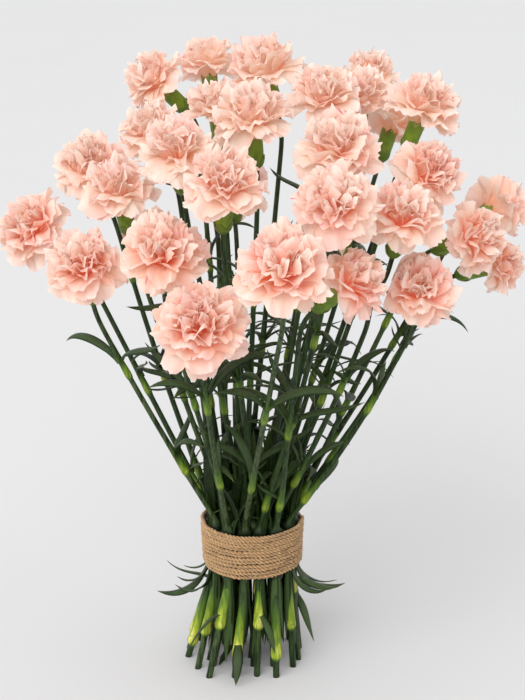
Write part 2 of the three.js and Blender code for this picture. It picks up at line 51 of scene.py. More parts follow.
AXIS = np.array([(tie_low.x + tie_high.x) / 2, (tie_low.y + tie_high.y) / 2, 0.0])

# The tie
TWINE_THICKNESS = 3.4
TWINE_TURNS = 13
TIE_BOTTOM = 92.0
TIE_TOP = TIE_BOTTOM + TWINE_TURNS * TWINE_THICKNESS
TIE_MIDDLE = (TIE_BOTTOM + TIE_TOP) / 2
LEAN_START = TIE_TOP + 3
SPREAD_END = TIE_BOTTOM - 6
TIE_INNER = 42.5
TIE_OUTER = TIE_INNER + TWINE_THICKNESS
GAP = 0.3

# Stems
FOOT_RADIUS = 3.1
TIE_STEM_RADIUS = 2.8
NECK_RADIUS = 2.2
FOOT_SPREAD = 1.36
FOOT_LEAN = (-8, 0)
FOOT_SCATTER = 6
ROW_DEPTHS = (-32, -19.2, -6.4, 6.4, 19.2, 32)
ROW_COUNTS = (4, 6, 6, 6, 6, 4)
SHEATH_DEPTH = 4.8

# Joints
JOINT_SWELL = 1.6
JOINT_SPACING = 86
JOINT_SPACING_RANGE = 0.2
JOINT_TAPER = 13
JOINT_SPARE = 0.3
JOINT_LIP = 2.5
LOWEST_JOINT = 12
LOWEST_JOINT_RANGE = 62
FIRST_JOINT_ABOVE_TIE = 16
FIRST_JOINT_RANGE = 40
BARE_BELOW_NECK = 34

# Calyxes and necks
CALYX_LENGTH = 26
CALYX_RADIUS = 7.0
NECK_LENGTH = 26

# Routes
LEAST_BOW = -0.05
BOW_RANGE = 0.3
LEVEL_STEP = 14
STEM_ROOM = 12
BLOOM_ROOM = 5
EASING_ROUNDS = 60
DIRECTION_REACH = 6

# Leaves
LEAF_WIDTH = 7.4
LEAF_WIDTH_RANGE = 0.4
LEAF_THICKNESS = 1.3
LEAF_STEPS = 12
LEAF_SHARES = np.arange(LEAF_STEPS + 1) / LEAF_STEPS
LEAF_ROOT = 3
LEAF_TURNS = (0, 25, -25, 50, -50, 75, -75, 100)
LEAF_ROOM = 0.5
# Leaves by joint, from the lowest up: the joint that the group ends before, the shortest leaf, how
# much longer the longest is, and the share of leaves that haven't fallen
LEAF_GROUPS = (
    (1, 34, 20, 0.55),
    (3, 48, 34, 1),
    (math.inf, 42, 30, 0.8),
)
ARCHING = np.radians((20, 60, 130))
CURLING = np.radians((35, 125, 60))
HANGING = np.radians((80, 140, 60))
DROOPING = np.radians((110, 170, 160))
LEAST_ASIDE = 0.7
SIDE_SLOT = 24
SIDE_TOP = 290
SIDE_ROOM = 8
ARCHING_SHARE = 0.6

# Leaves of the joints inside the tie: the height that they start at, their angles, the shortest,
# how much longer the longest is, how many each stem has, and whether they only go to the sides
TIED_LEAVES = (
    (TIE_TOP - 12, (6, 8, 60), 44, 46, 1, False),
    (TIE_TOP - 12, (4, 12, 30), 66, 60, 1, False),
    (TIE_TOP - 10, (10, 30, 120), 34, 30, 1, False),
    (TIE_BOTTOM + 8, (178, 177, 174), 54, 36, 5, False),
    (TIE_BOTTOM + 8, (172, 150, 60), 40, 34, 1, True),
)
TIED_LEAF_OFFSET = 3.0
TIED_LEAF_TRIES = 8
TIED_LEAF_WIDTHS = (0.85, 1.2)
TIED_SIDE_ROOM = 1
ASIDE_SCATTER = 0.35
OUTWARD_SCATTER = 1.8
# The share of a leaf's width that counts where it may brush past others, and how many beads met it
# counts for to stand out of the bunch's side
BRUSHING = 0.6
STANDS_OUT_COUNT = 1000

# Young leaves that curl close to the upper joints
SHOOTS = 2
SHOOT_ANGLES = ((8, 18, 70), (12, 60, 150), (20, 90, 30))
SHOOT_SHORTEST = 18
SHOOT_SPARE = 22
SHOOT_WIDTH = 4.2
SHOOT_WIDTHS = (0.7, 1.3)
SHOOT_RISE = 9

# Beads that stand for a flower when room is looked for
BEAD_STEP = 3
END_BEADS = 5
STEM_BEAD_ROOM = 0.5
CUP_BEAD_ROOM = 0.3
TIED_BEADS_START = TIE_BOTTOM + 5

# Heads
BLOOM_MIDDLE = 0.44
PRESS_SOFTNESS = 1.6
PRESS_REACH = 8
PRESS_ROOM = 1
PRESS_NEAR = 1.1
PRESS_MOST = 50

# What each scattered number is for
SEED_BOW = 1
SEED_LOWEST_JOINT = 2
SEED_FIRST_JOINT = 3
SEED_FOOT_X = 5
SEED_FOOT_Y = 6
SEED_ROLL = 9
SEED_SPACING = 10
SEED_LEAF_TURN = 20
SEED_LEAF_KIND = 30
SEED_LEAF_LENGTH = 50
SEED_LEAF_WIDTH = 70
SEED_LEAF_KEPT = 90
SEED_STEM_TINT = 200
SEED_CALYX_TURN = 202
SEED_LEAF_TWIST = 210
SEED_JOINT_PALE = 220
SEED_LEAF_TINT = 240

# What each run of random draws starts from
TIED_LEAVES_START = 31
SHOOTS_START = 57
FUZZ_START = 77
HEADS_START = 400

# One row per flower: the middle of the head, its width, and the way that it looks
FLOWERS = (
    ((-185, 0, 400), 70, (-0.65, -0.42, 0.6)),
    ((-140, 40, 445), 66, (-0.35, -0.25, 0.9)),
    ((-110, -30, 440), 66, (-0.2, -0.15, 0.97)),
    ((-135, -80, 390), 68, (-0.1, -0.42, 0.9)),
    ((-70, -115, 410), 72, (0, -0.45, 0.9)),
    ((-40, -165, 365), 76, (0, -0.66, 0.75)),
    ((-85, 85, 510), 62, (-0.7, -0.15, 0.7)),
    ((-40, 140, 515), 60, (-0.1, 0.35, 0.9)),
    ((10, 85, 520), 72, (-0.3, 0.15, 0.93)),
    ((-85, 15, 480), 60, (-0.4, -0.15, 0.9)),
    ((-60, -60, 480), 66, (-0.1, -0.3, 0.95)),
    ((-20, -120, 465), 70, (0.05, -0.25, 0.97)),
    ((0, -30, 500), 72, (-0.1, -0.08, 0.99)),
    ((-30, 40, 495), 60, (-0.1, 0, 1)),
    ((60, 10, 510), 66, (0, -0.12, 0.99)),
    ((105, 160, 500), 60, (0.1, 0.2, 0.97)),
    ((95, 65, 500), 62, (0.1, -0.1, 0.99)),
    ((145, 20, 500), 68, (0.35, -0.05, 0.93)),
    ((70, -55, 480), 74, (0, -0.3, 0.95)),
    ((145, -35, 455), 64, (0.6, -0.35, 0.7)),
    ((65, -140, 455), 70, (-0.05, -0.6, 0.8)),
    ((120, -95, 435), 66, (0.15, -0.35, 0.93)),
    ((25, -195, 420), 76, (0, -0.42, 0.9)),
    ((80, -130, 390), 62, (0.72, -0.2, 0.62)),
    ((135, -80, 370), 68, (0.05, -0.5, 0.87)),
    ((185, -30, 400), 62, (0.8, -0.4, 0.4)),
    ((215, 60, 405), 60, (0.75, 0.55, 0.35)),
    ((125, 110, 470), 58, (0.3, 0.4, 0.85)),
    ((212, 10, 365), 54, (0.93, -0.15, 0.3)),
    ((-20, 130, 405), 68, (-0.1, 0.75, 0.6)),
    ((60, 130, 350), 66, (0.3, 0.85, 0.4)),
    ((-90, 95, 365), 68, (-0.6, 0.65, 0.5)),
)

# The camera stands where the photograph was taken from: place, downward pitch, and a focal length
# in pixels of a picture 700 pixels high
CAMERA_PLACE = np.array([9.0, -1575.0, 808.5])
CAMERA_PITCH = math.radians(18.2)
FOCAL_PIXELS = 1920
PICTURE_HEIGHT = 700
SENSOR = 36.0


def scatter(i, j):
    """A repeatable number from 0 to 1 for the item i and the purpose j."""
    value = math.sin(i * 12.9898 + j * 78.233) * 43758.5453
    return value - math.floor(value)


def unit(v):
    v = np.asarray(v, float)
    return v / np.linalg.norm(v, axis=-1, keepdims=True)


def lerp(a, b, t):
    return a + (b - a) * t


def smooth(t):
    t = np.clip(t, 0, 1)
    return t * t * (3 - 2 * t)


# Layout of the flowers


def new_flower(index, row):
    at, across, looks = row
    return SimpleNamespace(
        index=index,
        centre=np.array(at, float),
        radius=across / 2,
        facing=unit(looks),
    )


def assign_slots(flowers):
    by_depth = sorted(flowers, key=lambda f: (f.centre[1], f.index))
    taken = 0
    for row, count in enumerate(ROW_COUNTS):
        in_row = sorted(by_depth[taken:taken + count], key=lambda f: f.centre[0])
        taken += count
        chord = 2 * math.sqrt(TIE_INNER ** 2 - ROW_DEPTHS[row] ** 2) - GAP
        pitch = chord / count
        for column, flower in enumerate(in_row):
            flower.half_pitch = pitch / 2
            across = (column - (count - 1) / 2) * pitch
            flower.slot = np.array([across, ROW_DEPTHS[row], TIE_MIDDLE])


def lay_out(flower):
    """The straight parts of a flower: head, calyx, neck, tie slot and cut end."""
    flower.calyx_top = flower.centre - BLOOM_MIDDLE * flower.radius * flower.facing
    flower.calyx_base = flower.calyx_top - CALYX_LENGTH * flower.facing
    rise = unit(flower.calyx_base - flower.slot)
    flower.neck = flower.calyx_base - NECK_LENGTH * unit(rise + flower.facing)
    shift = np.array([scatter(flower.index, seed) - 0.5 for seed in (SEED_FOOT_X, SEED_FOOT_Y)])
    flower.foot = flower.slot[:2] * FOOT_SPREAD + FOOT_LEAN + FOOT_SCATTER * shift


def first_course(flower):
    steps = max(3, math.floor((flower.neck[2] - LEAN_START) / LEVEL_STEP + 0.5))
    bow = LEAST_BOW + BOW_RANGE * scatter(flower.index, SEED_BOW)
    u = np.linspace(0, 1, steps + 1)[:, None]
    reach = u + bow * u * (1 - u)
    course = flower.slot + (flower.neck - flower.slot) * reach
    course[:, 2] = LEAN_START + (flower.neck[2] - LEAN_START) * u[:, 0]
    return course


def crossing(course, z):
    """The places where a course crosses the heights z, which lie between its ends."""
    place = (z - LEAN_START) / (course[-1, 2] - LEAN_START) * (len(course) - 1)
    i = np.clip(np.floor(place).astype(int), 0, len(course) - 2)
    return lerp(course[i], course[i + 1], (place - i)[:, None])


def side_push(points, others, room):
    away = points[:, :2] - others[..., :2]
    distance = np.maximum(np.linalg.norm(away, axis=-1), 0.001)
    return away * (np.maximum(0, room - distance) / distance)[:, None]


def round_room(points, centre, radius):
    return np.sqrt(np.maximum(0, radius ** 2 - (points[:, 2] - centre[2]) ** 2))


def ease_course(flower, flowers):
    """Moves one stem half way clear of the other stems, heads and calyxes, with both ends kept."""
    points = flower.course[1:-1]
    shifts = np.zeros((len(flower.course), 2))
    for other in flowers:
        if other is flower:
            continue
        beside = points[:, 2] <= other.course[-1, 2]
        near = crossing(other.course, points[beside, 2])
        shifts[1:-1][beside] += 0.5 * side_push(points[beside], near, STEM_ROOM)
        head_room = round_room(points, other.centre, other.radius + BLOOM_ROOM)
        shifts[1:-1] += 0.5 * side_push(points, other.centre, head_room)
        cup = (other.calyx_top + other.calyx_base) / 2
        cup_room = round_room(points, cup, CALYX_LENGTH / 2 + CALYX_RADIUS)
        shifts[1:-1] += 0.5 * side_push(points, cup, cup_room)
    flower.course[1:-1, :2] += 0.5 * shifts[1:-1] + 0.25 * (shifts[:-2] + shifts[2:])


def stem_points(flower, z):
    """The stem's middle line at any heights from the cut end up to the neck."""
    z = np.atleast_1d(np.asarray(z, float))
    points = np.tile(flower.slot, (len(z), 1))
    points[:, 2] = z
    low = z < SPREAD_END
    share = (z[low] / SPREAD_END)[:, None]
    points[low, :2] = lerp(flower.foot, flower.slot[:2], share)
    high = z >= LEAN_START
    points[high] = crossing(flower.course, z[high])
    return points


def stem_direction(flower, z):
    below = max(z - DIRECTION_REACH, 0)
    above = min(z + DIRECTION_REACH, flower.neck[2])
    ends = stem_points(flower, [below, above])
    return unit(ends[1] - ends[0])


def neck_points(flower, u):
    """The neck's curve from the end of the course into the calyx."""
    u = np.asarray(u, float)[:, None]
    corner = flower.calyx_base - NECK_LENGTH / 2 * flower.facing
    lower = lerp(flower.neck, corner, u)
    upper = lerp(corner, flower.calyx_base, u)
    return lerp(lower, upper, u)


def joint_heights(flower):
    heights = [LOWEST_JOINT + LOWEST_JOINT_RANGE * scatter(flower.index, SEED_LOWEST_JOINT)]
    first = FIRST_JOINT_RANGE * scatter(flower.index, SEED_FIRST_JOINT)
    z = TIE_TOP + FIRST_JOINT_ABOVE_TIE + first
    while z < flower.neck[2] - BARE_BELOW_NECK:
        heights.append(z)
        varied = scatter(flower.index, SEED_SPACING + len(heights)) - 0.5
        z += JOINT_SPACING * (1 + JOINT_SPACING_RANGE * varied)
    return heights


def stem_radius(flower, z):
    low = lerp(FOOT_RADIUS, TIE_STEM_RADIUS, z / TIE_MIDDLE)
    share = (z - TIE_MIDDLE) / (flower.neck[2] - TIE_MIDDLE)
    return np.where(z < TIE_MIDDLE, low, lerp(TIE_STEM_RADIUS, NECK_RADIUS, share))


def radius_at(flower, z):
    """The radius of the plain stem with its joints, which room is looked for round."""
    stations = [
        (0, FOOT_RADIUS),
        (TIE_BOTTOM - 2, float(stem_radius(flower, TIE_BOTTOM))),
        (TIE_TOP - 1, float(stem_radius(flower, TIE_TOP))),
        (flower.neck[2], NECK_RADIUS),
    ]
    for height in joint_heights(flower):
        radius = float(stem_radius(flower, height))
        stations.append((height - JOINT_LIP, radius))
        stations.append((height, radius + JOINT_SWELL))
        if height > TIE_TOP:
            stations.append((height + JOINT_TAPER, radius + JOINT_SPARE))
    return np.interp(z, *zip(*sorted(stations)))


def beads_of(flower):
    """Beads along a flower stand for it when room is looked for: place and radius."""
    z = np.arange(0, flower.neck[2] + 1e-9, BEAD_STEP)
    tied = np.arange(TIED_BEADS_START, TIE_TOP, BEAD_STEP)
    quarters = np.linspace(0, 1, END_BEADS)
    cup = lerp(flower.calyx_base, flower.calyx_top, quarters[:, None])
    places = [stem_points(flower, z), stem_points(flower, tied), neck_points(flower, quarters), cup]
    sizes = [
        radius_at(flower, z) + STEM_BEAD_ROOM,
        np.full(len(tied), flower.half_pitch),
        np.full(END_BEADS, NECK_RADIUS + STEM_BEAD_ROOM),
        np.full(END_BEADS, CALYX_RADIUS + CUP_BEAD_ROOM),
    ]
    return np.column_stack([np.concatenate(places), np.concatenate(sizes)])


def leaf_line(flower, z, turn, angles, length):
    """A leaf's middle line. It leaves the stem at one angle and bends through the others."""
    up = stem_direction(flower, z)
    ahead = np.array([math.cos(turn), math.sin(turn), 0.0])
    out = unit(ahead - ahead.dot(up) * up)
    u = (np.arange(LEAF_STEPS) + 0.5) / LEAF_STEPS
    bend = angles[0] * (1 - u) ** 2 + 2 * angles[1] * u * (1 - u) + angles[2] * u ** 2
    steps = np.cos(bend)[:, None] * up + np.sin(bend)[:, None] * out
    start = stem_points(flower, z)
    points = np.concatenate([start, start + np.cumsum(steps, axis=0) * length / LEAF_STEPS])
    return SimpleNamespace(points=points, side=np.cross(up, out))


def leaf_half_width(width, u):
    """Half a leaf's width along it: a third of the whole at the root, and a pointed end."""
    return 0.5 * width * (0.35 + 2.8 * u - 3.15 * u * u)


def inside_twine(points, radius):
    reach = np.hypot(points[:, 0], points[:, 1])
    z = points[:, 2]
    level = (z + radius > TIE_BOTTOM - 1) & (z - radius < TIE_TOP + 1)
    return level & (reach + radius > TIE_INNER - 1) & (reach - radius < TIE_OUTER + 1)


def meets(points, radius, beads):
    """Which points, each with a radius, run into which beads."""
    distance = np.linalg.norm(points[:, None] - beads[None, :, :3], axis=-1)
    return distance < beads[None, :, 3] + radius[:, None]


def stands_out(points, flowers, room=SIDE_ROOM):
    """Whether any point lies further out than the bunch's outermost stem on that side."""
    level = (points[:, 2] >= TIE_TOP) & (points[:, 2] <= SIDE_TOP)
    points = points[level]
    if not len(points):
        return False
    reach = np.hypot(points[:, 0], points[:, 1])
    furthest = np.full(len(points), -math.inf)
    for flower in flowers:
        beside = flower.neck[2] > points[:, 2]
        place = stem_points(flower, points[beside, 2])
        across = (place[:, :2] * points[beside, :2]).sum(axis=1) / reach[beside]
        furthest[beside] = np.maximum(furthest[beside], across)
    return (reach > furthest + room).any()


def leaf_has_room(line, width, others, leaf_beads, same_flower):
    radius = np.maximum(leaf_half_width(width, LEAF_SHARES), LEAF_THICKNESS) + LEAF_ROOM
    if (line.points[:, 2] < radius).any() or inside_twine(line.points, radius).any():
        return False
    if meets(line.points, radius, others).any():
        return False
    met = meets(line.points, radius, leaf_beads)
    met[:LEAF_ROOT, same_flower] = False
    return not met.any()


def other_beads(flower, flowers):
    return np.concatenate([f.beads for f in flowers if f is not flower])


def leaf_plans(flower):
    """The two leaves of each joint, on opposite sides, without those that have fallen."""
    plans = []
    for level, height in enumerate(joint_heights(flower)):
        _, shortest, spare, share = next(g for g in LEAF_GROUPS if level < g[0])
        first = 2 * math.pi * scatter(flower.index, SEED_LEAF_TURN + level)
        for side in (0, 1):
            def draw(seed):
                return scatter(flower.index, seed + 2 * level + side)
            upright = ARCHING if draw(SEED_LEAF_KIND) < ARCHING_SHARE else CURLING
            turn = first + side * math.pi
            aside = math.cos(turn) * np.sign(flower.slot[0]) > LEAST_ASIDE
            lowest = HANGING if aside and abs(flower.slot[0]) > SIDE_SLOT else DROOPING
            if draw(SEED_LEAF_KEPT) < share:
                plans.append(SimpleNamespace(
                    z=height + JOINT_TAPER + 1,
                    turn=turn,
                    angles=lowest if level == 0 else upright,
                    length=shortest + spare * draw(SEED_LEAF_LENGTH),
                    width=LEAF_WIDTH * (1 + LEAF_WIDTH_RANGE * (draw(SEED_LEAF_WIDTH) - 0.5)),
                ))
    return plans


def grow_leaves(flowers):
    """Turns each leaf to where it has room, and leaves out the one that finds none."""
    heads = np.array([[*f.centre, f.radius + 1] for f in flowers])
    leaf_beads = np.zeros((0, 4))
    owners = np.zeros(0, int)
    for flower in flowers:
        others = np.vstack([other_beads(flower, flowers), heads])
        flower.leaves = []
        for plan in leaf_plans(flower):
            for more in LEAF_TURNS:
                turn = plan.turn + math.radians(more)
                line = leaf_line(flower, plan.z, turn, plan.angles, plan.length)
                same = owners == flower.index
                if stands_out(line.points, flowers):
                    continue
                if leaf_has_room(line, plan.width, others, leaf_beads, same):
                    flower.leaves.append((line, plan.width))
                    sizes = leaf_half_width(plan.width, LEAF_SHARES) + LEAF_ROOM
                    leaf_beads = np.vstack([leaf_beads, np.column_stack([line.points, sizes])])
                    owners = np.append(owners, np.full(len(sizes), flower.index))
                    break


def tied_leaf_line(flower, z, turn, angles, length):
    """A leaf that comes out of the tie. It starts beside the stem and bends as the others do."""
    line = leaf_line(flower, z, turn, np.radians(angles), length)
    ahead = np.array([math.cos(turn), math.sin(turn), 0.0])
    line.points += ahead * TIED_LEAF_OFFSET
    return line


def crowding(line, width, others, flowers):
    """How many beads a leaf runs into."""
    met = meets(line.points, leaf_half_width(width, LEAF_SHARES) * BRUSHING, others).sum()
    outside = stands_out(line.points, flowers, TIED_SIDE_ROOM)
    return met + (STANDS_OUT_COUNT if outside else 0)


def tied_leaf_turn(rng, flower, aside):
    if aside:
        side = 0 if flower.slot[0] > 0 else math.pi
        return side + rng.normal(0, ASIDE_SCATTER)
    return math.atan2(flower.slot[1], flower.slot[0]) + rng.normal(0, OUTWARD_SCATTER)


def grow_tied_leaves(flowers):
    """The leaves of the joints inside the tie, which come out of it above and below."""
    rng = np.random.default_rng(TIED_LEAVES_START)
    for flower in flowers:
        others = other_beads(flower, flowers)
        for z, angles, shortest, spare, number, aside in TIED_LEAVES:
            for _ in range(number):
                length = shortest + spare * rng.uniform()
                width = LEAF_WIDTH * rng.uniform(*TIED_LEAF_WIDTHS)
                turns = [tied_leaf_turn(rng, flower, aside) for _ in range(TIED_LEAF_TRIES)]
                if aside and abs(flower.slot[0]) < TIE_INNER / 2:
                    continue
                lines = [tied_leaf_line(flower, z, turn, angles, length) for turn in turns]
                best = min(lines, key=lambda line: crowding(line, width, others, flowers))
                if not stands_out(best.points, flowers, TIED_SIDE_ROOM):
                    flower.leaves.append((best, width))


def grow_shoots(flowers):
    """Short young leaves beside the grown ones at each upper joint, where they meet nothing."""
    rng = np.random.default_rng(SHOOTS_START)
    for flower in flowers:
        others = other_beads(flower, flowers)
        for z in joint_heights(flower)[1:]:
            for _ in range(SHOOTS):
                turn = rng.uniform(0, 2 * math.pi)
                angles = np.radians(SHOOT_ANGLES[rng.integers(len(SHOOT_ANGLES))])
                length = SHOOT_SHORTEST + SHOOT_SPARE * rng.uniform()
                line = leaf_line(flower, z + SHOOT_RISE, turn, angles, length)
                width = SHOOT_WIDTH * rng.uniform(*SHOOT_WIDTHS)
                if crowding(line, width, others, flowers) == 0:
                    flower.leaves.append((line, width))


def presses_on(flower, flowers):
    """The half-spaces that a head's petals stay in, as directions and limits."""
    towards, limits = [], []
    for other in flowers:
        if other is flower:
            continue
        between = other.centre - flower.centre
        distance = np.linalg.norm(between)
        if distance < flower.radius + other.radius + PRESS_REACH:
            towards.append(between / distance)
            share = flower.radius / (flower.radius + other.radius)
            limits.append(distance * share - GAP / 2)
        reach = other.beads[:, :3] - flower.centre
        length = np.linalg.norm(reach, axis=1)
        room = length - other.beads[:, 3] - PRESS_ROOM
        near = room < flower.radius * PRESS_NEAR
        towards.extend(reach[near] / length[near, None])
        limits.extend(room[near])
    return np.array(towards), np.array(limits)


def pressed(points, flower, presses):
    """Pulls a head's points back from whatever presses on it."""
    moved = points - flower.centre
    for toward, limit in zip(*presses):
        over = np.minimum((moved @ toward - limit) / PRESS_SOFTNESS, PRESS_MOST)
        moved = moved - np.outer(PRESS_SOFTNESS * np.log1p(np.exp(over)), toward)
    return moved + flower.centre


def lay_out_bunch():
    flowers = [new_flower(index, row) for index, row in enumerate(FLOWERS)]
    assign_slots(flowers)
    for flower in flowers:
        lay_out(flower)
        flower.course = first_course(flower)
    for _ in range(EASING_ROUNDS):
        for flower in flowers:
            ease_course(flower, flowers)
    for flower in flowers:
        flower.beads = beads_of(flower)
    grow_leaves(flowers)
    grow_tied_leaves(flowers)
    grow_shoots(flowers)
    return flowers


# Meshes


class Surface:
    """Grids of points gathered into one mesh, in millimetres, with four values at each point."""

    def __init__(self):
        self.points = []
        self.values = []
        self.faces = {3: [], 4: []}
        self.count = 0

    def add_points(self, points, values):
        start = self.count
        self.points.append(points.reshape(-1, 3))
        self.values.append(np.broadcast_to(values, points.shape[:-1] + (4,)).reshape(-1, 4))
        self.count += len(self.points[-1])
        return start

    def add_faces(self, corners, kind):
        """Faces by the numbers of their corners, with their kind of material as a last column."""
        corners = corners.reshape(-1, corners.shape[-1])
        kinds = np.full(len(corners), kind)
        self.faces[corners.shape[1]].append(np.column_stack([corners, kinds]))

    def add_grid(self, points, values, kind=0, around=False):
        """Rows and columns of points. around joins the last column to the first."""
        rows, columns = points.shape[:2]
        start = self.add_points(points, values)
        number = start + np.arange(rows * columns).reshape(rows, columns)
        right = np.roll(number, -1, axis=1)
        if not around:
            number, right = number[:, :-1], right[:, :-1]
        self.add_faces(joined(number[:-1], right[:-1], right[1:], number[1:]), kind)
        return start

    def add_tube(self, rings, values, kind=0):
        """A closed tube through rings of points, with both ends covered."""
        rows, columns = rings.shape[:2]
        start = self.add_grid(rings, values, kind, around=True)
        for row, flip in ((0, True), (rows - 1, False)):
            middle = self.add_points(rings[row].mean(axis=0)[None], values[row, 0])
            first = start + row * columns + np.arange(columns)
            second = np.roll(first, -1)
            near, far = (second, first) if flip else (first, second)
            self.add_faces(joined(near, far, middle), kind)


def joined(*channels):
    """Numbers for each point of a grid, side by side."""
    return np.stack(np.broadcast_arrays(*channels), axis=-1)


def rings_round(line, side, other, across, front):
    """Rings of points round a line, from how far each point lies along two directions."""
    return line[:, None] + side[:, None] * across[..., None] + other[:, None] * front[..., None]


def mesh_piece(name, surface, materials, attribute):
    points = np.concatenate(surface.points) * MM + AXIS
    faces = [np.concatenate(group) for group in surface.faces.values() if group]
    kinds = np.concatenate([group[:, -1] for group in faces])
    mesh = bpy.data.meshes.new(name)
    mesh.from_pydata(points.tolist(), [], [face for g in faces for face in g[:, :-1].tolist()])
    for material in materials:
        mesh.materials.append(material)
    mesh.polygons.foreach_set("material_index", kinds.astype(np.int32))
    mesh.polygons.foreach_set("use_smooth", np.ones(len(kinds), bool))
    values = mesh.attributes.new(attribute, "FLOAT_COLOR", "POINT")
    values.data.foreach_set("color", np.concatenate(surface.values).astype(np.float32).ravel())
    mesh.validate()
    piece = bpy.data.objects.new(name, mesh)
    bpy.context.scene.collection.objects.link(piece)
    return piece


# Heads

# A layer of petals: how many, how long, the angle above the level at the throat and at the rim in
# degrees, how far the rim curls back, half the width, the ruffle, its waves, and the grid's rows
# and columns. Lengths are in shares of the head's radius.
PetalLayer = namedtuple("PetalLayer", "count length low high curl half ruffle waves rows columns")
# From the outermost in
PETAL_LAYERS = (
    PetalLayer(7, 1.04, 62, -26, 10, 0.43, 0.070, 1.3, 9, 25),
    PetalLayer(6, 1.05, 70, -6, 14, 0.45, 0.095, 1.4, 9, 25),
    PetalLayer(6, 1.06, 77, 18, 22, 0.44, 0.120, 1.5, 9, 25),
    PetalLayer(7, 1.10, 82, 42, 32, 0.41, 0.140, 1.5, 9, 23),
    PetalLayer(7, 1.15, 86, 60, 40, 0.38, 0.150, 1.6, 8, 21),
    PetalLayer(8, 1.18, 89, 72, 46, 0.36, 0.150, 1.6, 8, 21),
)
THROAT = 0.17
# The crumpled middle: small petals in tufts that lean out from the head's axis
TUFT_LAYER = PetalLayer(4, 1.2, 91, 80, 50, 0.32, 0.14, 1.6, 7, 19)
TUFTS = 4
TUFT_LEAN = 15
TUFT_REACH = 0.1
TUFT_THROAT = 0.03
# Where along a petal it opens outwards, curls back and widens from its claw
PROFILE_STEPS = 60
OPENS_FROM = 0.05
OPENS_OVER = 0.62
CURLS_FROM = 0.74
WIDENS_FROM = 0.04
CLAW_WIDTH = 0.2
# The relief of a petal and of its rim
RIM_LOBES = 0.06
RIM_CORNERS = 0.4
RIM_FRILL = 0.026
TOOTH_DEPTH = 0.034
CLEFTS = 2
CLEFT_DEPTH = 1.3
CREASES = 0.016
SECOND_RUFFLE = 0.34
PETAL_BOW = 0.38
BOW_DROP = 0.8
BOW_RISE = 0.3
DROOP = 28
ROOT_SPREAD = 0.03
# How much petals differ: their places in shares of a step, their angles in degrees, and the rest in
# shares of the layer's own value
PLACE_SCATTER = 0.22
TUFT_SCATTER = 0.15
TUFT_PETAL_SCATTER = 0.2
TUFT_LEAN_RANGE = (0.7, 1.3)
LOW_SCATTER = 3
HIGH_SCATTER = 11
FOLD_SCATTER = 0.2
SPLAY_SCATTER = 0.18
CURL_RANGE = (0.4, 1.6)
LENGTH_RANGE = (0.87, 1.06)
HALF_RANGE = (0.85, 1.15)
WAVES_RANGE = (0.8, 1.25)
RUFFLE_RANGE = (0.7, 1.3)
# How deep the colour of the front heads is, by flower: 0 is cream and 1 is coral. The others are
# creamy.
HUES = {
    0: 0.95, 3: 1.0, 4: 0.95, 5: 1.15, 11: 0.4, 18: 0.3, 19: 0.6, 20: 0.5,
    21: 0.7, 22: 1.15, 23: 0.8, 24: 0.9, 25: 0.7, 26: 0.5, 28: 0.6,
}
CREAMY = 0.05
HUE_SHARE = 0.65
INWARD_SHARE = 0.8
HUE_SCATTER = 0.09


def petal_profile(rng, layer, throat, droop):
    """A petal from the side: places along it, and its reach, height and slope at each."""
    low = math.radians(layer.low + rng.normal(0, LOW_SCATTER))
    high = math.radians(layer.high + rng.normal(0, HIGH_SCATTER) - DROOP * droop)
    curl = math.radians(layer.curl * rng.uniform(*CURL_RANGE))
    t = np.linspace(0, 1, PROFILE_STEPS)
    slope = lerp(low, high, smooth((t - OPENS_FROM) / OPENS_OVER))
    slope = slope - curl * smooth((t - CURLS_FROM) / (1 - CURLS_FROM))
    step = layer.length * rng.uniform(*LENGTH_RANGE) / (PROFILE_STEPS - 1)
    reach = throat + np.concatenate([[0], np.cumsum(np.cos(slope[1:]))]) * step
    height = np.concatenate([[0], np.cumsum(np.sin(slope[1:]))]) * step
    return t, reach, height, slope


def petal_rim(rng, layer, v):
    """How long the petal is at each column, with its lobes, and how deep its teeth are cut."""
    lobes = RIM_LOBES * np.sin(rng.uniform(1.5, 3) * v + rng.uniform(0, 6.3))
    rim = 1 - RIM_CORNERS * np.abs(v) ** 3.5 + lobes
    tooth = rng.uniform(0, 1, layer.columns) ** 1.5
    tooth[rng.integers(2, layer.columns - 2, CLEFTS)] += CLEFT_DEPTH
    return rim, TOOTH_DEPTH * tooth


def petal_relief(rng, layer, v, s, t):
    """How far each point stands out of the plain petal, and the wave of its ruffle."""
    growth = np.clip(t, 0, 1.1) ** 1.8
    phase = rng.uniform(0, 2 * math.pi, 4)
    waves = layer.waves * rng.uniform(*WAVES_RANGE)
    ruffle = np.sin(math.pi * waves * v + phase[0] + 1.0 * s)
    ruffle = ruffle + SECOND_RUFFLE * np.sin(math.pi * waves * 2.3 * v + phase[1] - 1.5 * s)
    bulge = layer.ruffle * growth * ruffle * rng.uniform(*RUFFLE_RANGE)
    frill = RIM_FRILL * np.clip(t, 0, 1.1) ** 7 * np.sin(math.pi * 4.2 * v + phase[2])
    fold = rng.normal(0, FOLD_SCATTER) * np.abs(v) ** 1.5 * growth
    crease = CREASES * np.sin(8 * s + 2 * v + phase[3]) * growth
    return bulge + frill + fold * layer.half + crease, ruffle


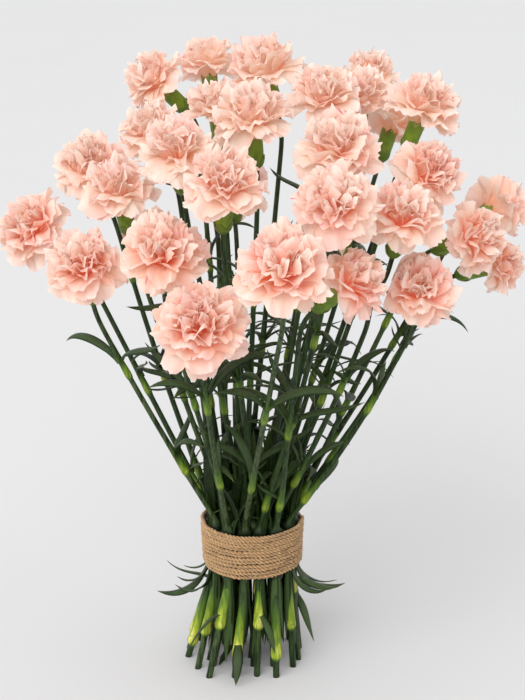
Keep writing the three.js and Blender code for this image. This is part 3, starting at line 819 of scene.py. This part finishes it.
def petal_points(rng, layer, throat, azimuth, droop):
    """One petal in its head's frame, as rows from the throat to the rim, and its values."""
    stations, reach, height, slope = petal_profile(rng, layer, throat, droop)
    v = np.linspace(-1, 1, layer.columns)[None, :]
    s = np.linspace(0, 1, layer.rows)[:, None] ** 0.85
    rim, teeth = petal_rim(rng, layer, v)
    t = s * rim
    t[-1] -= teeth
    half = layer.half * rng.uniform(*HALF_RANGE)
    across = v * (half * lerp(CLAW_WIDTH, 1, smooth((t - WIDENS_FROM) / OPENS_OVER)))
    out, ruffle = petal_relief(rng, layer, v, s, t)
    out = out + rng.normal(0, SPLAY_SCATTER) * across
    r = np.interp(t, stations, reach)
    z = np.interp(t, stations, height)
    tilt = np.interp(t, stations, slope)
    bow = np.maximum(r, 0.05) + PETAL_BOW
    side = bow * np.sin(across / bow)
    drop = bow * (1 - np.cos(across / bow)) * BOW_DROP
    radial = r - drop * np.sin(tilt) ** 2 - out * np.sin(tilt)
    upward = z + drop * np.cos(tilt) * BOW_RISE + out * np.cos(tilt)
    ca, sa = math.cos(azimuth), math.sin(azimuth)
    root = rng.normal(0, ROOT_SPREAD, 2)
    points = joined(radial * ca - side * sa + root[0], radial * sa + side * ca + root[1], upward)
    # How deep in the trough of a ruffle each point lies, which the petal material tints coral as
    # painted shade
    valley = np.clip(0.5 - 0.5 * ruffle / (1 + SECOND_RUFFLE), 0, 1)
    return points, joined(t, valley, 0.0, 0.5 + 0.5 * v)


def leaned(points, azimuth, angle):
    """Points leaned over towards an azimuth."""
    ahead = np.array([math.cos(azimuth), math.sin(azimuth), 0.0])
    forward = (points @ ahead)[..., None]
    height = points[..., 2:]
    further = forward * (math.cos(angle) - 1) + height * math.sin(angle)
    higher = height * (math.cos(angle) - 1) - forward * math.sin(angle)
    return points + further * ahead + higher * np.array([0.0, 0.0, 1.0])


def head_frame(flower):
    """The head's own directions, as the columns of a matrix, turned at random about its axis."""
    turn = Vector((0, 0, 1)).rotation_difference(Vector(flower.facing))
    roll = 2 * math.pi * scatter(flower.index, SEED_ROLL)
    spun = np.array([[math.cos(roll), -math.sin(roll), 0],
                     [math.sin(roll), math.cos(roll), 0],
                     [0, 0, 1]])
    return np.array(turn.to_matrix()) @ spun


def share_of_turn(rng, number, count, spread):
    """The angle of one of count things round an axis, a little out of its even place."""
    return 2 * math.pi * (number + rng.uniform(-spread, spread)) / count


def head_petals(rng, turn):
    """Every petal of a head in the head's frame, with its values and how far in it grows."""
    for level, layer in enumerate(PETAL_LAYERS):
        first = rng.uniform(0, 2 * math.pi)
        for number in range(layer.count):
            azimuth = first + share_of_turn(rng, number, layer.count, PLACE_SCATTER)
            droop = -turn[2, 0] * math.cos(azimuth) - turn[2, 1] * math.sin(azimuth)
            points, values = petal_points(rng, layer, THROAT, azimuth, droop)
            yield points, values, level / len(PETAL_LAYERS)
    first = rng.uniform(0, 2 * math.pi)
    for tuft in range(TUFTS):
        ahead = first + share_of_turn(rng, tuft, TUFTS, TUFT_SCATTER)
        lean = math.radians(TUFT_LEAN * rng.uniform(*TUFT_LEAN_RANGE))
        root = TUFT_REACH * np.array([math.cos(ahead), math.sin(ahead), 0.0])
        start = rng.uniform(0, 2 * math.pi)
        for number in range(TUFT_LAYER.count):
            azimuth = start + share_of_turn(rng, number, TUFT_LAYER.count, TUFT_PETAL_SCATTER)
            points, values = petal_points(rng, TUFT_LAYER, TUFT_THROAT, azimuth, 0)
            yield leaned(points, ahead, lean) + root, values, 1.0


def head_surface(flower, flowers):
    rng = np.random.default_rng(HEADS_START + flower.index)
    presses = presses_on(flower, flowers)
    turn = head_frame(flower)
    surface = Surface()
    hue = HUE_SHARE * (HUES.get(flower.index, CREAMY) - 0.5)
    for local, values, inward in head_petals(rng, turn):
        shape = local.reshape(-1, 3) @ turn.T * flower.radius + flower.calyx_top
        shape = pressed(shape, flower, presses).reshape(local.shape)
        values[..., 2] = np.clip(INWARD_SHARE * inward + hue + rng.normal(0, HUE_SCATTER), 0, 1)
        surface.add_grid(shape, values)
    return surface


# Stalks: stem, joints, calyx and leaves

STEM, LEAF, CALYX = 0, 1, 2
STEM_SIDES = 10
STEM_SLENDER = 0.93
STEM_RIDGES = 0.06
# Rings stand closer below this height than above it
FINE_TOP = 76
FINE_STEP = 2
COARSE_STEP = 3
NECK_RINGS = 8
STEM_SMOOTHING = 5
SHEATH_FADE = 5
SHEATH_TOP = TIE_TOP + 4
SHEATH_GAP = 0.4


def smoothed(points, rounds):
    for _ in range(rounds):
        inner = 0.5 * points[1:-1] + 0.25 * (points[:-2] + points[2:])
        points = np.concatenate([points[:1], inner, points[-1:]])
    return points


LEAST_PALENESS = 0.75
# How far a joint stands proud of the stem, and how pale it is, at heights above its middle
LOW_JOINT = dict(
    proud=((-3, 0), (-1.4, 0.5), (0, 1.6), (2, 2.3), (6, 2.0), (14, 1.4), (30, 1.0), (50, 0)),
    pale=((-2.5, 0), (-1, 0.6), (1, 1), (6, 1), (14, 0.84), (26, 0.6), (40, 0.34), (54, 0)),
)
HIGH_JOINT = dict(
    proud=((-2.5, 0), (-1, 0.5), (1, 0.95), (4, 0.9), (9, 0.6), (18, 0.35), (34, 0)),
    pale=((-2.5, 0), (-1, 0.35), (1, 0.7), (5, 0.62), (12, 0.38), (24, 0.12), (34, 0)),
)


def joint_shape(offset, stations):
    return np.interp(offset, *zip(*stations))


def joint_relief(flower, z):
    """How far a stem's joints stand proud of it, and how pale they are, at the heights z."""
    proud = np.zeros(len(z))
    pale = np.zeros(len(z))
    for number, height in enumerate(joint_heights(flower)):
        kind = LOW_JOINT if height < TIE_BOTTOM else HIGH_JOINT
        strength = lerp(LEAST_PALENESS, 1.0, scatter(flower.index, SEED_JOINT_PALE + number))
        proud = proud + joint_shape(z - height, kind["proud"])
        pale = np.maximum(pale, joint_shape(z - height, kind["pale"]) * strength)
    return proud, pale


def stem_line(flower):
    """The middle line of a stem from the cut end into the calyx, and the height of each ring."""
    fine = np.arange(0, FINE_TOP, FINE_STEP)
    heights = np.concatenate([fine, np.arange(FINE_TOP, flower.neck[2], COARSE_STEP)])
    neck = neck_points(flower, np.linspace(0, 1, NECK_RINGS + 1)[1:])
    line = smoothed(np.concatenate([stem_points(flower, heights), neck]), STEM_SMOOTHING)
    return line, np.concatenate([heights, np.full(NECK_RINGS, flower.neck[2])])


def add_stem(surface, flower):
    """A stem with its joints. Inside the tie it is as thick as its leaf sheaths make it."""
    line, z = stem_line(flower)
    proud, pale = joint_relief(flower, z)
    radius = stem_radius(flower, z) * STEM_SLENDER + proud
    along = unit(np.gradient(line, axis=0))
    side = unit(np.cross(along, (0.0, 1.0, 0.0)))
    other = np.cross(along, side)
    side[0], other[0] = (-1.0, 0.0, 0.0), (0.0, -1.0, 0.0)
    angle = np.linspace(0, 2 * math.pi, STEM_SIDES, endpoint=False)
    ridge = 1 + STEM_RIDGES * np.cos(3 * angle + flower.index)
    below = smooth((z - TIE_BOTTOM + SHEATH_FADE) / SHEATH_FADE)
    wrapped = below * smooth((SHEATH_TOP - z) / SHEATH_FADE)
    wide = lerp(radius, flower.half_pitch - SHEATH_GAP, wrapped)
    deep = lerp(radius, SHEATH_DEPTH, wrapped)
    across = wide[:, None] * np.cos(angle) * ridge
    rings = rings_round(line, side, other, across, deep[:, None] * np.sin(angle) * ridge)
    reach = np.hypot(rings[..., 0], rings[..., 1])
    fit = np.minimum(1, (TIE_INNER - 2 * GAP) / np.maximum(reach, 1))
    rings[..., :2] *= np.where(wrapped[:, None] > 0, fit, 1)[..., None]
    tint = np.full(rings.shape[:2], scatter(flower.index, SEED_STEM_TINT))
    # The last value is how far the stem lies wrapped in the tie, which the stem material darkens as
    # painted shade
    surface.add_tube(rings, joined(pale[:, None], 0.0, tint, wrapped[:, None]), STEM)


# A cup of a calyx: the heights of its rings, their radii, how many pointed lobes its rim has, how
# deep the notches between them are, how far it is turned, and whether it is of bracts
Cup = namedtuple("Cup", "heights radii lobes notch turn bract")
CUP_SIDES = 30
CUP_WALL = 0.7
CUP_RIBS = 0.02
CUPS = (
    Cup((-1.5, 1, 4, 9, 15, 20, 25, 29), (2.2, 4.4, 6, 6.8, 7, 7.1, 7.2, 7.5), 5, 5.0, 0, 0),
    Cup((-2, 0.5, 3, 6, 8.5, 10), (2.4, 4.9, 6.6, 7.4, 7.7, 7.7), 4, 6.0, 0.6, 1),
)
INNER_RINGS = 3


def add_cup(surface, flower, cup):
    """A cup round the head's axis. Its wall is a closed thin shell."""
    angle = np.linspace(0, 2 * math.pi, CUP_SIDES, endpoint=False)
    turn = 2 * math.pi * scatter(flower.index, SEED_CALYX_TURN) + cup.turn
    lobe = np.abs(((angle + turn) * cup.lobes / (2 * math.pi)) % 1 - 0.5) * 2
    heights = np.array(cup.heights, float)
    base, top = heights[0], heights[-1]
    level = base + (heights[:, None] - base) * (1 - cup.notch / (top - base) * lobe ** 1.5)
    outside = np.interp(level, heights, cup.radii)
    inside = (outside - CUP_WALL)[::-1][:INNER_RINGS]
    ribbed = outside * (1 + CUP_RIBS * np.cos(angle * 15))
    radius = np.concatenate([ribbed, inside])
    level = np.concatenate([level, level[::-1][:INNER_RINGS]])
    rings = joined(radius * np.cos(angle), radius * np.sin(angle), level)
    rings = rings @ head_frame(flower).T + flower.calyx_base
    share = np.linspace(0, 1, len(heights))
    share = np.concatenate([share, share[::-1][:INNER_RINGS]])[:, None]
    surface.add_tube(rings, joined(share, 0.0, 0.0, np.full(level.shape, cup.bract)), CALYX)


LEAF_ROWS = 20
LEAF_SMOOTHING = 3
BLADE_WIDENING = 1.2
BLADE_TWIST = 1.6
LEAF_TIP = 0.05
CLASP_WIDTH = 1.9
CLASP_FADE = 14
# Round a blade: how far across each point lies, how far the edges lift, and the thickness
BLADE_ACROSS = np.array([-1, -0.55, 0, 0.55, 1, 0.55, 0, -0.55])
BLADE_LIFT = np.array([0.28, 0.1, 0, 0.1, 0.28, 0.1, 0, 0.1])
BLADE_THICKNESS = np.array([0, 0.35, 0.55, 0.35, 0, -0.3, -0.35, -0.3])


def add_leaf(surface, flower, line, width, number):
    """A channelled blade with a thin edge, which clasps the stem at its root."""
    u = np.linspace(0, 1, LEAF_ROWS)
    points = joined(*(np.interp(u, LEAF_SHARES, line.points[:, k]) for k in range(3)))
    points = smoothed(points, LEAF_SMOOTHING)
    along = unit(np.gradient(points, axis=0))
    twist = (scatter(flower.index, SEED_LEAF_TWIST + number) - 0.5) * BLADE_TWIST * u ** 1.5
    keel = unit(np.cross(along, line.side))
    side = np.cos(twist)[:, None] * line.side + np.sin(twist)[:, None] * keel
    keel = unit(np.cross(along, side))
    clasp = CLASP_WIDTH * np.exp(-(u * CLASP_FADE) ** 2)
    half = np.maximum(leaf_half_width(width, u), LEAF_TIP) * BLADE_WIDENING + clasp
    half[-1] = LEAF_TIP
    across = half[:, None] * BLADE_ACROSS
    depth = half[:, None] * BLADE_LIFT + np.minimum(half, 1.0)[:, None] * BLADE_THICKNESS
    rings = rings_round(points, side, keel, across, -depth)
    tint = scatter(flower.index, SEED_LEAF_TINT + number)
    values = joined(u[:, None], np.abs(BLADE_ACROSS), tint, BLADE_THICKNESS < 0)
    surface.add_tube(rings, values, LEAF)


def stalk_surface(members):
    surface = Surface()
    for flower in members:
        add_stem(surface, flower)
        for cup in CUPS:
            add_cup(surface, flower, cup)
        for number, (line, width) in enumerate(flower.leaves):
            add_leaf(surface, flower, line, width, number)
    return surface


# Twine

PLIES = 2
PLY_RADIUS = 1.08
PLY_OFFSET = 0.78
PLY_SIDES = 5
CORE_RADIUS = 1.35
CORE_INSET = 0.25
TWIST_PITCH = 7.6
TWINE_STEP = 1.1
TWINE_TAPER = 1.6
FUZZ_COUNT = 500
FUZZ_LENGTHS = (1.2, 3.2)
FUZZ_HALF_WIDTH = 0.09
FUZZ_DEPTH = 1.5


def sines(place, *parts):
    """A sum of sine waves, each given as its height, its pace and where it starts."""
    return sum(height * np.sin(pace * place + start) for height, pace, start in parts)


def twine_line():
    """The middle line of the twine, wound upwards with slack and uneven turns."""
    middle = TIE_INNER + TWINE_THICKNESS / 2
    total = TWINE_TURNS * 2 * math.pi
    angle = np.linspace(0, total, int(total * middle / TWINE_STEP))
    turn = angle / (2 * math.pi)
    rise = TIE_TOP - TIE_BOTTOM - TWINE_THICKNESS
    z = TIE_BOTTOM + TWINE_THICKNESS / 2 + rise * angle / total
    z = z + sines(angle, (0.8, 1, 0.45 * turn), (0.25, 2.3, 1.7 * turn))
    stems = sines(angle, (0.35, 9, 0), (0.2, 14, 2))
    loose = sines(angle, (0.25, 1.37, 0.6 * turn), (0.18, 3.1, 0))
    radius = middle + stems + loose - TWINE_TAPER * (1 - angle / total)
    return joined(radius * np.cos(angle), radius * np.sin(angle), z), angle


def twine_surface():
    """The plies, twisted round each other, with a core between them that is coloured dark as
    painted shade.
    """
    surface = Surface()
    points, angle = twine_line()
    along = unit(np.gradient(points, axis=0))
    out = unit(joined(np.cos(angle), np.sin(angle), np.zeros_like(angle)))
    up = unit(np.cross(along, out))
    out = np.cross(up, along)
    arc = np.concatenate([[0], np.cumsum(np.linalg.norm(np.diff(points, axis=0), axis=1))])
    around = np.linspace(0, 2 * math.pi, PLY_SIDES, endpoint=False)
    loose = sines(arc, (0.9, 0.11, 0), (0.7, 0.043, 1))
    for ply in range(PLIES + 1):
        core = ply == PLIES
        twist = (2 * math.pi * arc / TWIST_PITCH + 2 * math.pi * ply / PLIES + loose)[:, None]
        lay = PLY_OFFSET * (np.cos(twist) * out + np.sin(twist) * up)
        middle = points + (-CORE_INSET * out if core else lay)
        uneven = 1 + sines(arc, (0.1, 0.37, 2 * ply), (0.07, 1.13, 0))
        swell = ((CORE_RADIUS if core else PLY_RADIUS) * uneven)[:, None]
        spin = around[None, :] + twist
        rings = rings_round(middle, out, up, swell * np.cos(spin), swell * np.sin(spin))
        # The core's value of 0 lets the twine material darken it as painted shade
        shade = 0 if core else 0.4 + 0.3 * ply
        surface.add_tube(rings, joined(arc[:, None] / 1000, around / (2 * math.pi), shade, 0.0))
    add_fuzz(surface, points, along, out, up)
    return surface


def add_fuzz(surface, points, along, out, up):
    """Loose fibres that stand off the turns, as thin curved blades."""
    rng = np.random.default_rng(FUZZ_START)
    for i in rng.integers(5, len(points) - 5, FUZZ_COUNT):
        direction = unit(rng.normal(0, 0.6) * along[i] + out[i] * rng.uniform(0.2, 0.6)
                         + up[i] * rng.normal(0, 0.5))
        length = rng.uniform(*FUZZ_LENGTHS)
        start = points[i] + out[i] * FUZZ_DEPTH
        bend = unit(rng.normal(0, 1, 3)) * length * 0.3
        u = np.linspace(0, 1, 4)[:, None]
        line = start + direction * u * length + bend * u ** 2
        side = unit(np.cross(direction, out[i] + 0.01)) * FUZZ_HALF_WIDTH * (1 - 0.8 * u)
        blade = np.stack([line - side, line + side], axis=1)
        surface.add_grid(blade, (points[i][0] / 100, 0.5, 1, 0))


# Materials


def srgb(red, green, blue):
    """A colour given in the usual 0 to 255, as linear light."""
    def linear(c):
        c = c / 255
        return c / 12.92 if c <= 0.04045 else ((c + 0.055) / 1.055) ** 2.4
    return (linear(red), linear(green), linear(blue), 1.0)


class Nodes:
    """Short calls that add nodes to a new material."""

    def __init__(self, name):
        self.material = bpy.data.materials.new(name)
        self.material.use_nodes = True
        self.tree = self.material.node_tree
        self.tree.nodes.clear()

    def add(self, kind, inputs, **settings):
        """A node. An input is another node's output, a number, or a colour up to 255."""
        node = self.tree.nodes.new("ShaderNode" + kind)
        for key, value in settings.items():
            setattr(node, key, value)
        for key, value in inputs.items():
            if isinstance(value, bpy.types.NodeSocket):
                self.tree.links.new(value, node.inputs[key])
            else:
                node.inputs[key].default_value = srgb(*value) if isinstance(value, tuple) else value
        return node

    def attribute(self, name):
        node = self.add("Attribute", {}, attribute_name=name)
        parts = self.add("SeparateColor", {0: node.outputs["Color"]})
        return *parts.outputs[:3], node.outputs["Alpha"]

    def object_place(self):
        return self.add("TexCoord", {}).outputs["Object"]

    def place(self, x, y, z):
        return self.add("CombineXYZ", {0: x, 1: y, 2: z}).outputs[0]

    def stretched(self, place, across, up):
        """A place measured more finely across than up."""
        scales = Vector((across, across, up))
        return self.add("VectorMath", {0: place, 1: scales}, operation="MULTIPLY").outputs[0]

    def times(self, a, b):
        return self.add("Math", {0: a, 1: b}, operation="MULTIPLY").outputs[0]

    def plus(self, a, b):
        return self.add("Math", {0: a, 1: b}, operation="ADD").outputs[0]

    def mix(self, factor, a, b):
        return self.add("Mix", {0: factor, 6: a, 7: b}, data_type="RGBA").outputs[2]

    def spread(self, factor, low, high, new_low=0.0, new_high=1.0):
        values = dict(enumerate((factor, low, high, new_low, new_high)))
        return self.add("MapRange", values).outputs[0]

    def ramp(self, factor, stops, linear=False):
        """Colours by place. They are usual ones up to 255, or else linear light."""
        node = self.add("ValToRGB", {0: factor})
        elements = node.color_ramp.elements
        while len(elements) < len(stops):
            elements.new(0.5)
        for element, (place, colour) in zip(elements, stops):
            element.position = place
            element.color = (*colour, 1.0) if linear else srgb(*colour)
        return node.outputs[0]

    def noise(self, place, scale, detail=2.0, rough=0.5):
        inputs = {"Vector": place, "Scale": scale, "Detail": detail, "Roughness": rough}
        return self.add("TexNoise", inputs).outputs[0]

    def patches(self, scale, detail, low, high, most):
        """Soft patches all over: 0 where the noise is low, and up to most where it is high."""
        return self.spread(self.noise(self.object_place(), scale, detail), low, high, 0, most)

    def bump(self, height, distance, strength=1.0):
        inputs = {"Strength": strength, "Distance": distance, "Height": height}
        return self.add("Bump", inputs).outputs[0]

    def principled(self, colour, roughness, **others):
        inputs = {key.replace("_", " "): value for key, value in others.items()}
        inputs.update({"Base Color": colour, "Roughness": roughness})
        return self.add("BsdfPrincipled", inputs).outputs[0]

    def finish(self, shader):
        self.add("OutputMaterial", {"Surface": shader})
        return self.material


def petal_colour(n, depth, tint):
    """From the throat to the rim, the colours of the outer petals and of the inner ones."""
    outer = n.ramp(depth, (
        (0.0, (224, 210, 168)),
        (0.3, (244, 212, 190)),
        (0.55, (245, 226, 210)),
        (0.78, (246, 231, 218)),
        (0.96, (248, 234, 225)),
    ))
    inner = n.ramp(depth, (
        (0.0, (240, 138, 102)),
        (0.4, (245, 168, 138)),
        (0.66, (245, 201, 180)),
        (0.83, (246, 221, 207)),
        (0.96, (248, 232, 222)),
    ))
    return n.mix(tint, outer, inner)


def petal_painted_glow(n, depth, tint):
    """Painted glow: emission for the light petals pass on among themselves, which keeps folds warm.
    """
    pale = n.ramp(depth, (
        (0.2, (0.18, 0.080, 0.046)),
        (0.6, (0.10, 0.074, 0.060)),
        (0.95, (0.03, 0.030, 0.028)),
    ), linear=True)
    coral = n.ramp(depth, (
        (0.2, (0.20, 0.042, 0.016)),
        (0.6, (0.10, 0.032, 0.016)),
        (0.95, (0.03, 0.018, 0.012)),
    ), linear=True)
    return n.mix(n.spread(tint, 0.2, 0.9), pale, coral)


def petal_flecks(n, along, across, own):
    """Where the few crimson flecks are, in streaks towards the rim."""
    place = n.place(n.times(across, 9.0), n.times(along, 1.6), own)
    fleck = n.spread(n.noise(place, 1.0, 1), 0.74, 0.79, 0.0, 0.8)
    return n.times(fleck, n.spread(along, 0.45, 0.6))


def petal_material():
    n = Nodes("petals")
    along, valley, tint, across = n.attribute("petal")
    own = n.times(tint, 40.0)
    cloud = n.noise(n.object_place(), 60, 3)
    vein = n.noise(n.place(n.times(across, 26.0), along, own), 1.0, 2)
    depth = n.plus(along, n.spread(cloud, 0.3, 0.7, -0.08, 0.08))
    depth = n.plus(depth, n.spread(vein, 0.3, 0.7, -0.09, 0.09))
    # Painted shade: the troughs of the ruffles turn coral, as folds look where the petals shade one
    # another
    painted_fold_shade = n.times(valley, n.spread(along, 0.35, 0.8, 0.0, 0.28))
    colour = n.mix(painted_fold_shade, petal_colour(n, depth, tint), (246, 162, 134))
    colour = n.mix(n.patches(26, 1, 0.5, 0.7, 0.4), colour, (250, 202, 196))
    colour = n.mix(petal_flecks(n, along, across, own), colour, (236, 96, 128))
    # Painted glow: the petals give off this light themselves as emission, most towards the throat
    painted_glow = petal_painted_glow(n, depth, tint)
    shine = n.principled(colour, 0.62, Normal=n.bump(vein, 0.0009, 0.7), Specular_IOR_Level=0.2,
                         Sheen_Weight=0.1, Emission_Strength=1.0, Emission_Color=painted_glow)
    through = n.add("BsdfTranslucent", {"Color": colour}).outputs[0]
    return n.finish(n.add("MixShader", {0: 0.4, 1: shine, 2: through}).outputs[0])


def stem_material():
    n = Nodes("stems")
    pale, _, tint, wrapped = n.attribute("stalk")
    place = n.object_place()
    streaks = n.noise(n.stretched(place, 420, 30), 1.0, 3)
    mottle = n.noise(place, 130, 3)
    green = n.mix(n.spread(streaks, 0.35, 0.65), (12, 28, 6), (42, 66, 20))
    green = n.mix(n.spread(mottle, 0.5, 0.75, 0, 0.3), green, (58, 78, 32))
    greyish = n.times(n.spread(tint, 0.55, 0.95, 0, 0.7), n.spread(streaks, 0.4, 0.6))
    green = n.mix(greyish, green, (76, 92, 56))
    pale = n.plus(pale, n.times(pale, n.spread(streaks, 0.35, 0.65, -0.35, 0.1)))
    joint = n.ramp(pale, (
        (0.0, (44, 70, 24)),
        (0.35, (72, 102, 26)),
        (0.6, (120, 142, 36)),
        (0.8, (166, 176, 56)),
        (0.95, (204, 202, 118)),
    ))
    colour = n.mix(n.spread(pale, 0.0, 0.3), green, joint)
    blotch = n.times(n.patches(210, 4, 0.55, 0.68, 0.75), pale)
    colour = n.mix(blotch, colour, (84, 96, 34))
    # Painted shade: inside the tie and just past its edges the stems and sheaths turn nearly black,
    # as the twine shades them
    colour = n.mix(wrapped, colour, (20, 32, 14))
    normal = n.bump(mottle, 0.0004)
    return n.finish(n.principled(colour, 0.38, Normal=normal, Specular_IOR_Level=0.28))


def leaf_material():
    n = Nodes("leaves")
    along, edge, tint, under = n.attribute("stalk")
    green = n.mix(tint, (10, 28, 4), (38, 60, 14))
    green = n.mix(n.patches(90, 3, 0.4, 0.7, 0.4), green, (52, 76, 28))
    green = n.mix(n.times(under, 0.35), green, (76, 98, 56))
    colour = n.mix(n.spread(along, 0.9, 1.0, 0, 0.6), green, (110, 108, 58))
    colour = n.mix(n.spread(along, 0.12, 0.0, 0, 0.6), colour, (110, 138, 50))
    vein = n.noise(n.place(n.times(edge, 14.0), along, tint), 3, 2)
    normal = n.bump(vein, 0.0003)
    return n.finish(n.principled(colour, 0.42, Normal=normal, Specular_IOR_Level=0.26))


def calyx_material():
    n = Nodes("calyxes")
    share, _, _, bract = n.attribute("stalk")
    mottle = n.noise(n.object_place(), 150, 3)
    green = n.ramp(share, (
        (0.0, (84, 112, 30)),
        (0.5, (106, 136, 38)),
        (0.85, (114, 142, 48)),
        (1.0, (160, 164, 92)),
    ))
    green = n.mix(n.spread(mottle, 0.4, 0.7, 0, 0.45), green, (56, 82, 20))
    yellowed = n.times(n.patches(70, 2, 0.5, 0.66, 0.6), n.spread(share, 0.9, 0.2))
    green = n.mix(yellowed, green, (136, 150, 40))
    colour = n.mix(n.times(bract, 0.5), green, (58, 84, 26))
    normal = n.bump(mottle, 0.0005)
    return n.finish(n.principled(colour, 0.42, Normal=normal, Specular_IOR_Level=0.25))


def twine_material():
    n = Nodes("twine")
    arc, around, ply, _ = n.attribute("twine")
    lay = n.place(n.times(arc, 160.0), n.times(around, 22.0), ply)
    strands = n.noise(lay, 1.6, 3, 0.65)
    colour = n.ramp(strands, (
        (0.32, (118, 84, 52)),
        (0.46, (184, 144, 98)),
        (0.58, (222, 182, 132)),
        (0.72, (250, 220, 174)),
    ))
    # Painted shade: the core between the plies turns dark brown where it shows in the gaps
    colour = n.mix(n.spread(ply, 0.0, 0.3, 0.6, 0.0), colour, (112, 80, 50))
    colour = n.mix(n.patches(45, 2, 0.35, 0.7, 0.3), colour, (186, 146, 100))
    return n.finish(n.principled(colour, 0.85, Normal=n.bump(strands, 0.0006),
                                 Specular_IOR_Level=0.2, Sheen_Weight=0.2))


def floor_material():
    n = Nodes("floor")
    colour = n.mix(n.patches(3, 2, 0.3, 0.7, 0.3), (203, 203, 204), (200, 200, 201))
    return n.finish(n.principled(colour, 0.9, Specular_IOR_Level=0.1))


# Stage, lights and camera

FLOOR_HALF = 9.0
LIGHTS_AIM = (0, 0, 0.3)
SKY_STRENGTH = 1.04
KEY_PLACE = (-1.2, -1.6, 1.9)
KEY_STRENGTH = 1.35
KEY_SOFTNESS = math.radians(50)
FRONT_PLACE = (-0.75, -4.6, 3.2)
FRONT_SIZE = 3.5
FRONT_POWER = 80


def make_floor():
    mesh = bpy.data.meshes.new("floor")
    corners = [(x * FLOOR_HALF, y * FLOOR_HALF, 0) for x, y in ((-1, -1), (1, -1), (1, 1), (-1, 1))]
    mesh.from_pydata(corners, [], [(0, 1, 2, 3)])
    mesh.materials.append(floor_material())
    floor = bpy.data.objects.new("floor", mesh)
    bpy.context.scene.collection.objects.link(floor)


def add_light(name, kind, place, **settings):
    data = bpy.data.lights.new(name, kind)
    for key, value in settings.items():
        setattr(data, key, value)
    light = bpy.data.objects.new(name, data)
    light.location = place
    towards = Vector(LIGHTS_AIM) - Vector(place)
    light.rotation_euler = towards.to_track_quat("-Z", "Y").to_euler()
    bpy.context.scene.collection.objects.link(light)


def light_stage():
    world = bpy.data.worlds.new("soft_light")
    bpy.context.scene.world = world
    world.use_nodes = True
    background = world.node_tree.nodes["Background"]
    background.inputs["Color"].default_value = (1.0, 1.0, 1.0, 1.0)
    background.inputs["Strength"].default_value = SKY_STRENGTH
    add_light("key", "SUN", KEY_PLACE, energy=KEY_STRENGTH, angle=KEY_SOFTNESS)
    add_light("front", "AREA", FRONT_PLACE, shape="DISK", size=FRONT_SIZE, energy=FRONT_POWER)


def make_camera():
    data = bpy.data.cameras.new("camera")
    data.sensor_fit = "VERTICAL"
    data.sensor_width = SENSOR
    data.sensor_height = SENSOR
    data.lens = SENSOR * FOCAL_PIXELS / PICTURE_HEIGHT
    camera = bpy.data.objects.new("camera", data)
    camera.location = CAMERA_PLACE * MM + AXIS
    camera.rotation_euler = (math.pi / 2 - CAMERA_PITCH, 0, 0)
    bpy.context.scene.collection.objects.link(camera)
    bpy.context.scene.camera = camera


def place_piece(name, surface, materials, attribute, node):
    piece = mesh_piece(name, surface, materials, attribute)
    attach(piece, "root")
    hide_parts(node)


def build_heads(flowers):
    petals = petal_material()
    for flower in flowers:
        number = f"{flower.index + 1:02d}"
        surface = head_surface(flower, flowers)
        place_piece(f"petals_{number}", surface, [petals], "petal", f"bloom_{number}")


def build_stalks(flowers):
    materials = [stem_material(), leaf_material(), calyx_material()]
    for node in sorted(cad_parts):
        if not node.startswith("stem"):
            continue
        numbers = node.split("_")[1:]
        surface = stalk_surface([flowers[int(number) - 1] for number in numbers])
        name = "stalk_" + "_".join(numbers)
        place_piece(name, surface, materials, "stalk", node)


def build_twine():
    place_piece("twine_turns", twine_surface(), [twine_material()], "twine", "twine")


make_camera()
make_floor()
light_stage()
bunch = lay_out_bunch()
build_heads(bunch)
build_stalks(bunch)
build_twine()
bpy.context.scene.view_settings.view_transform = "Standard"
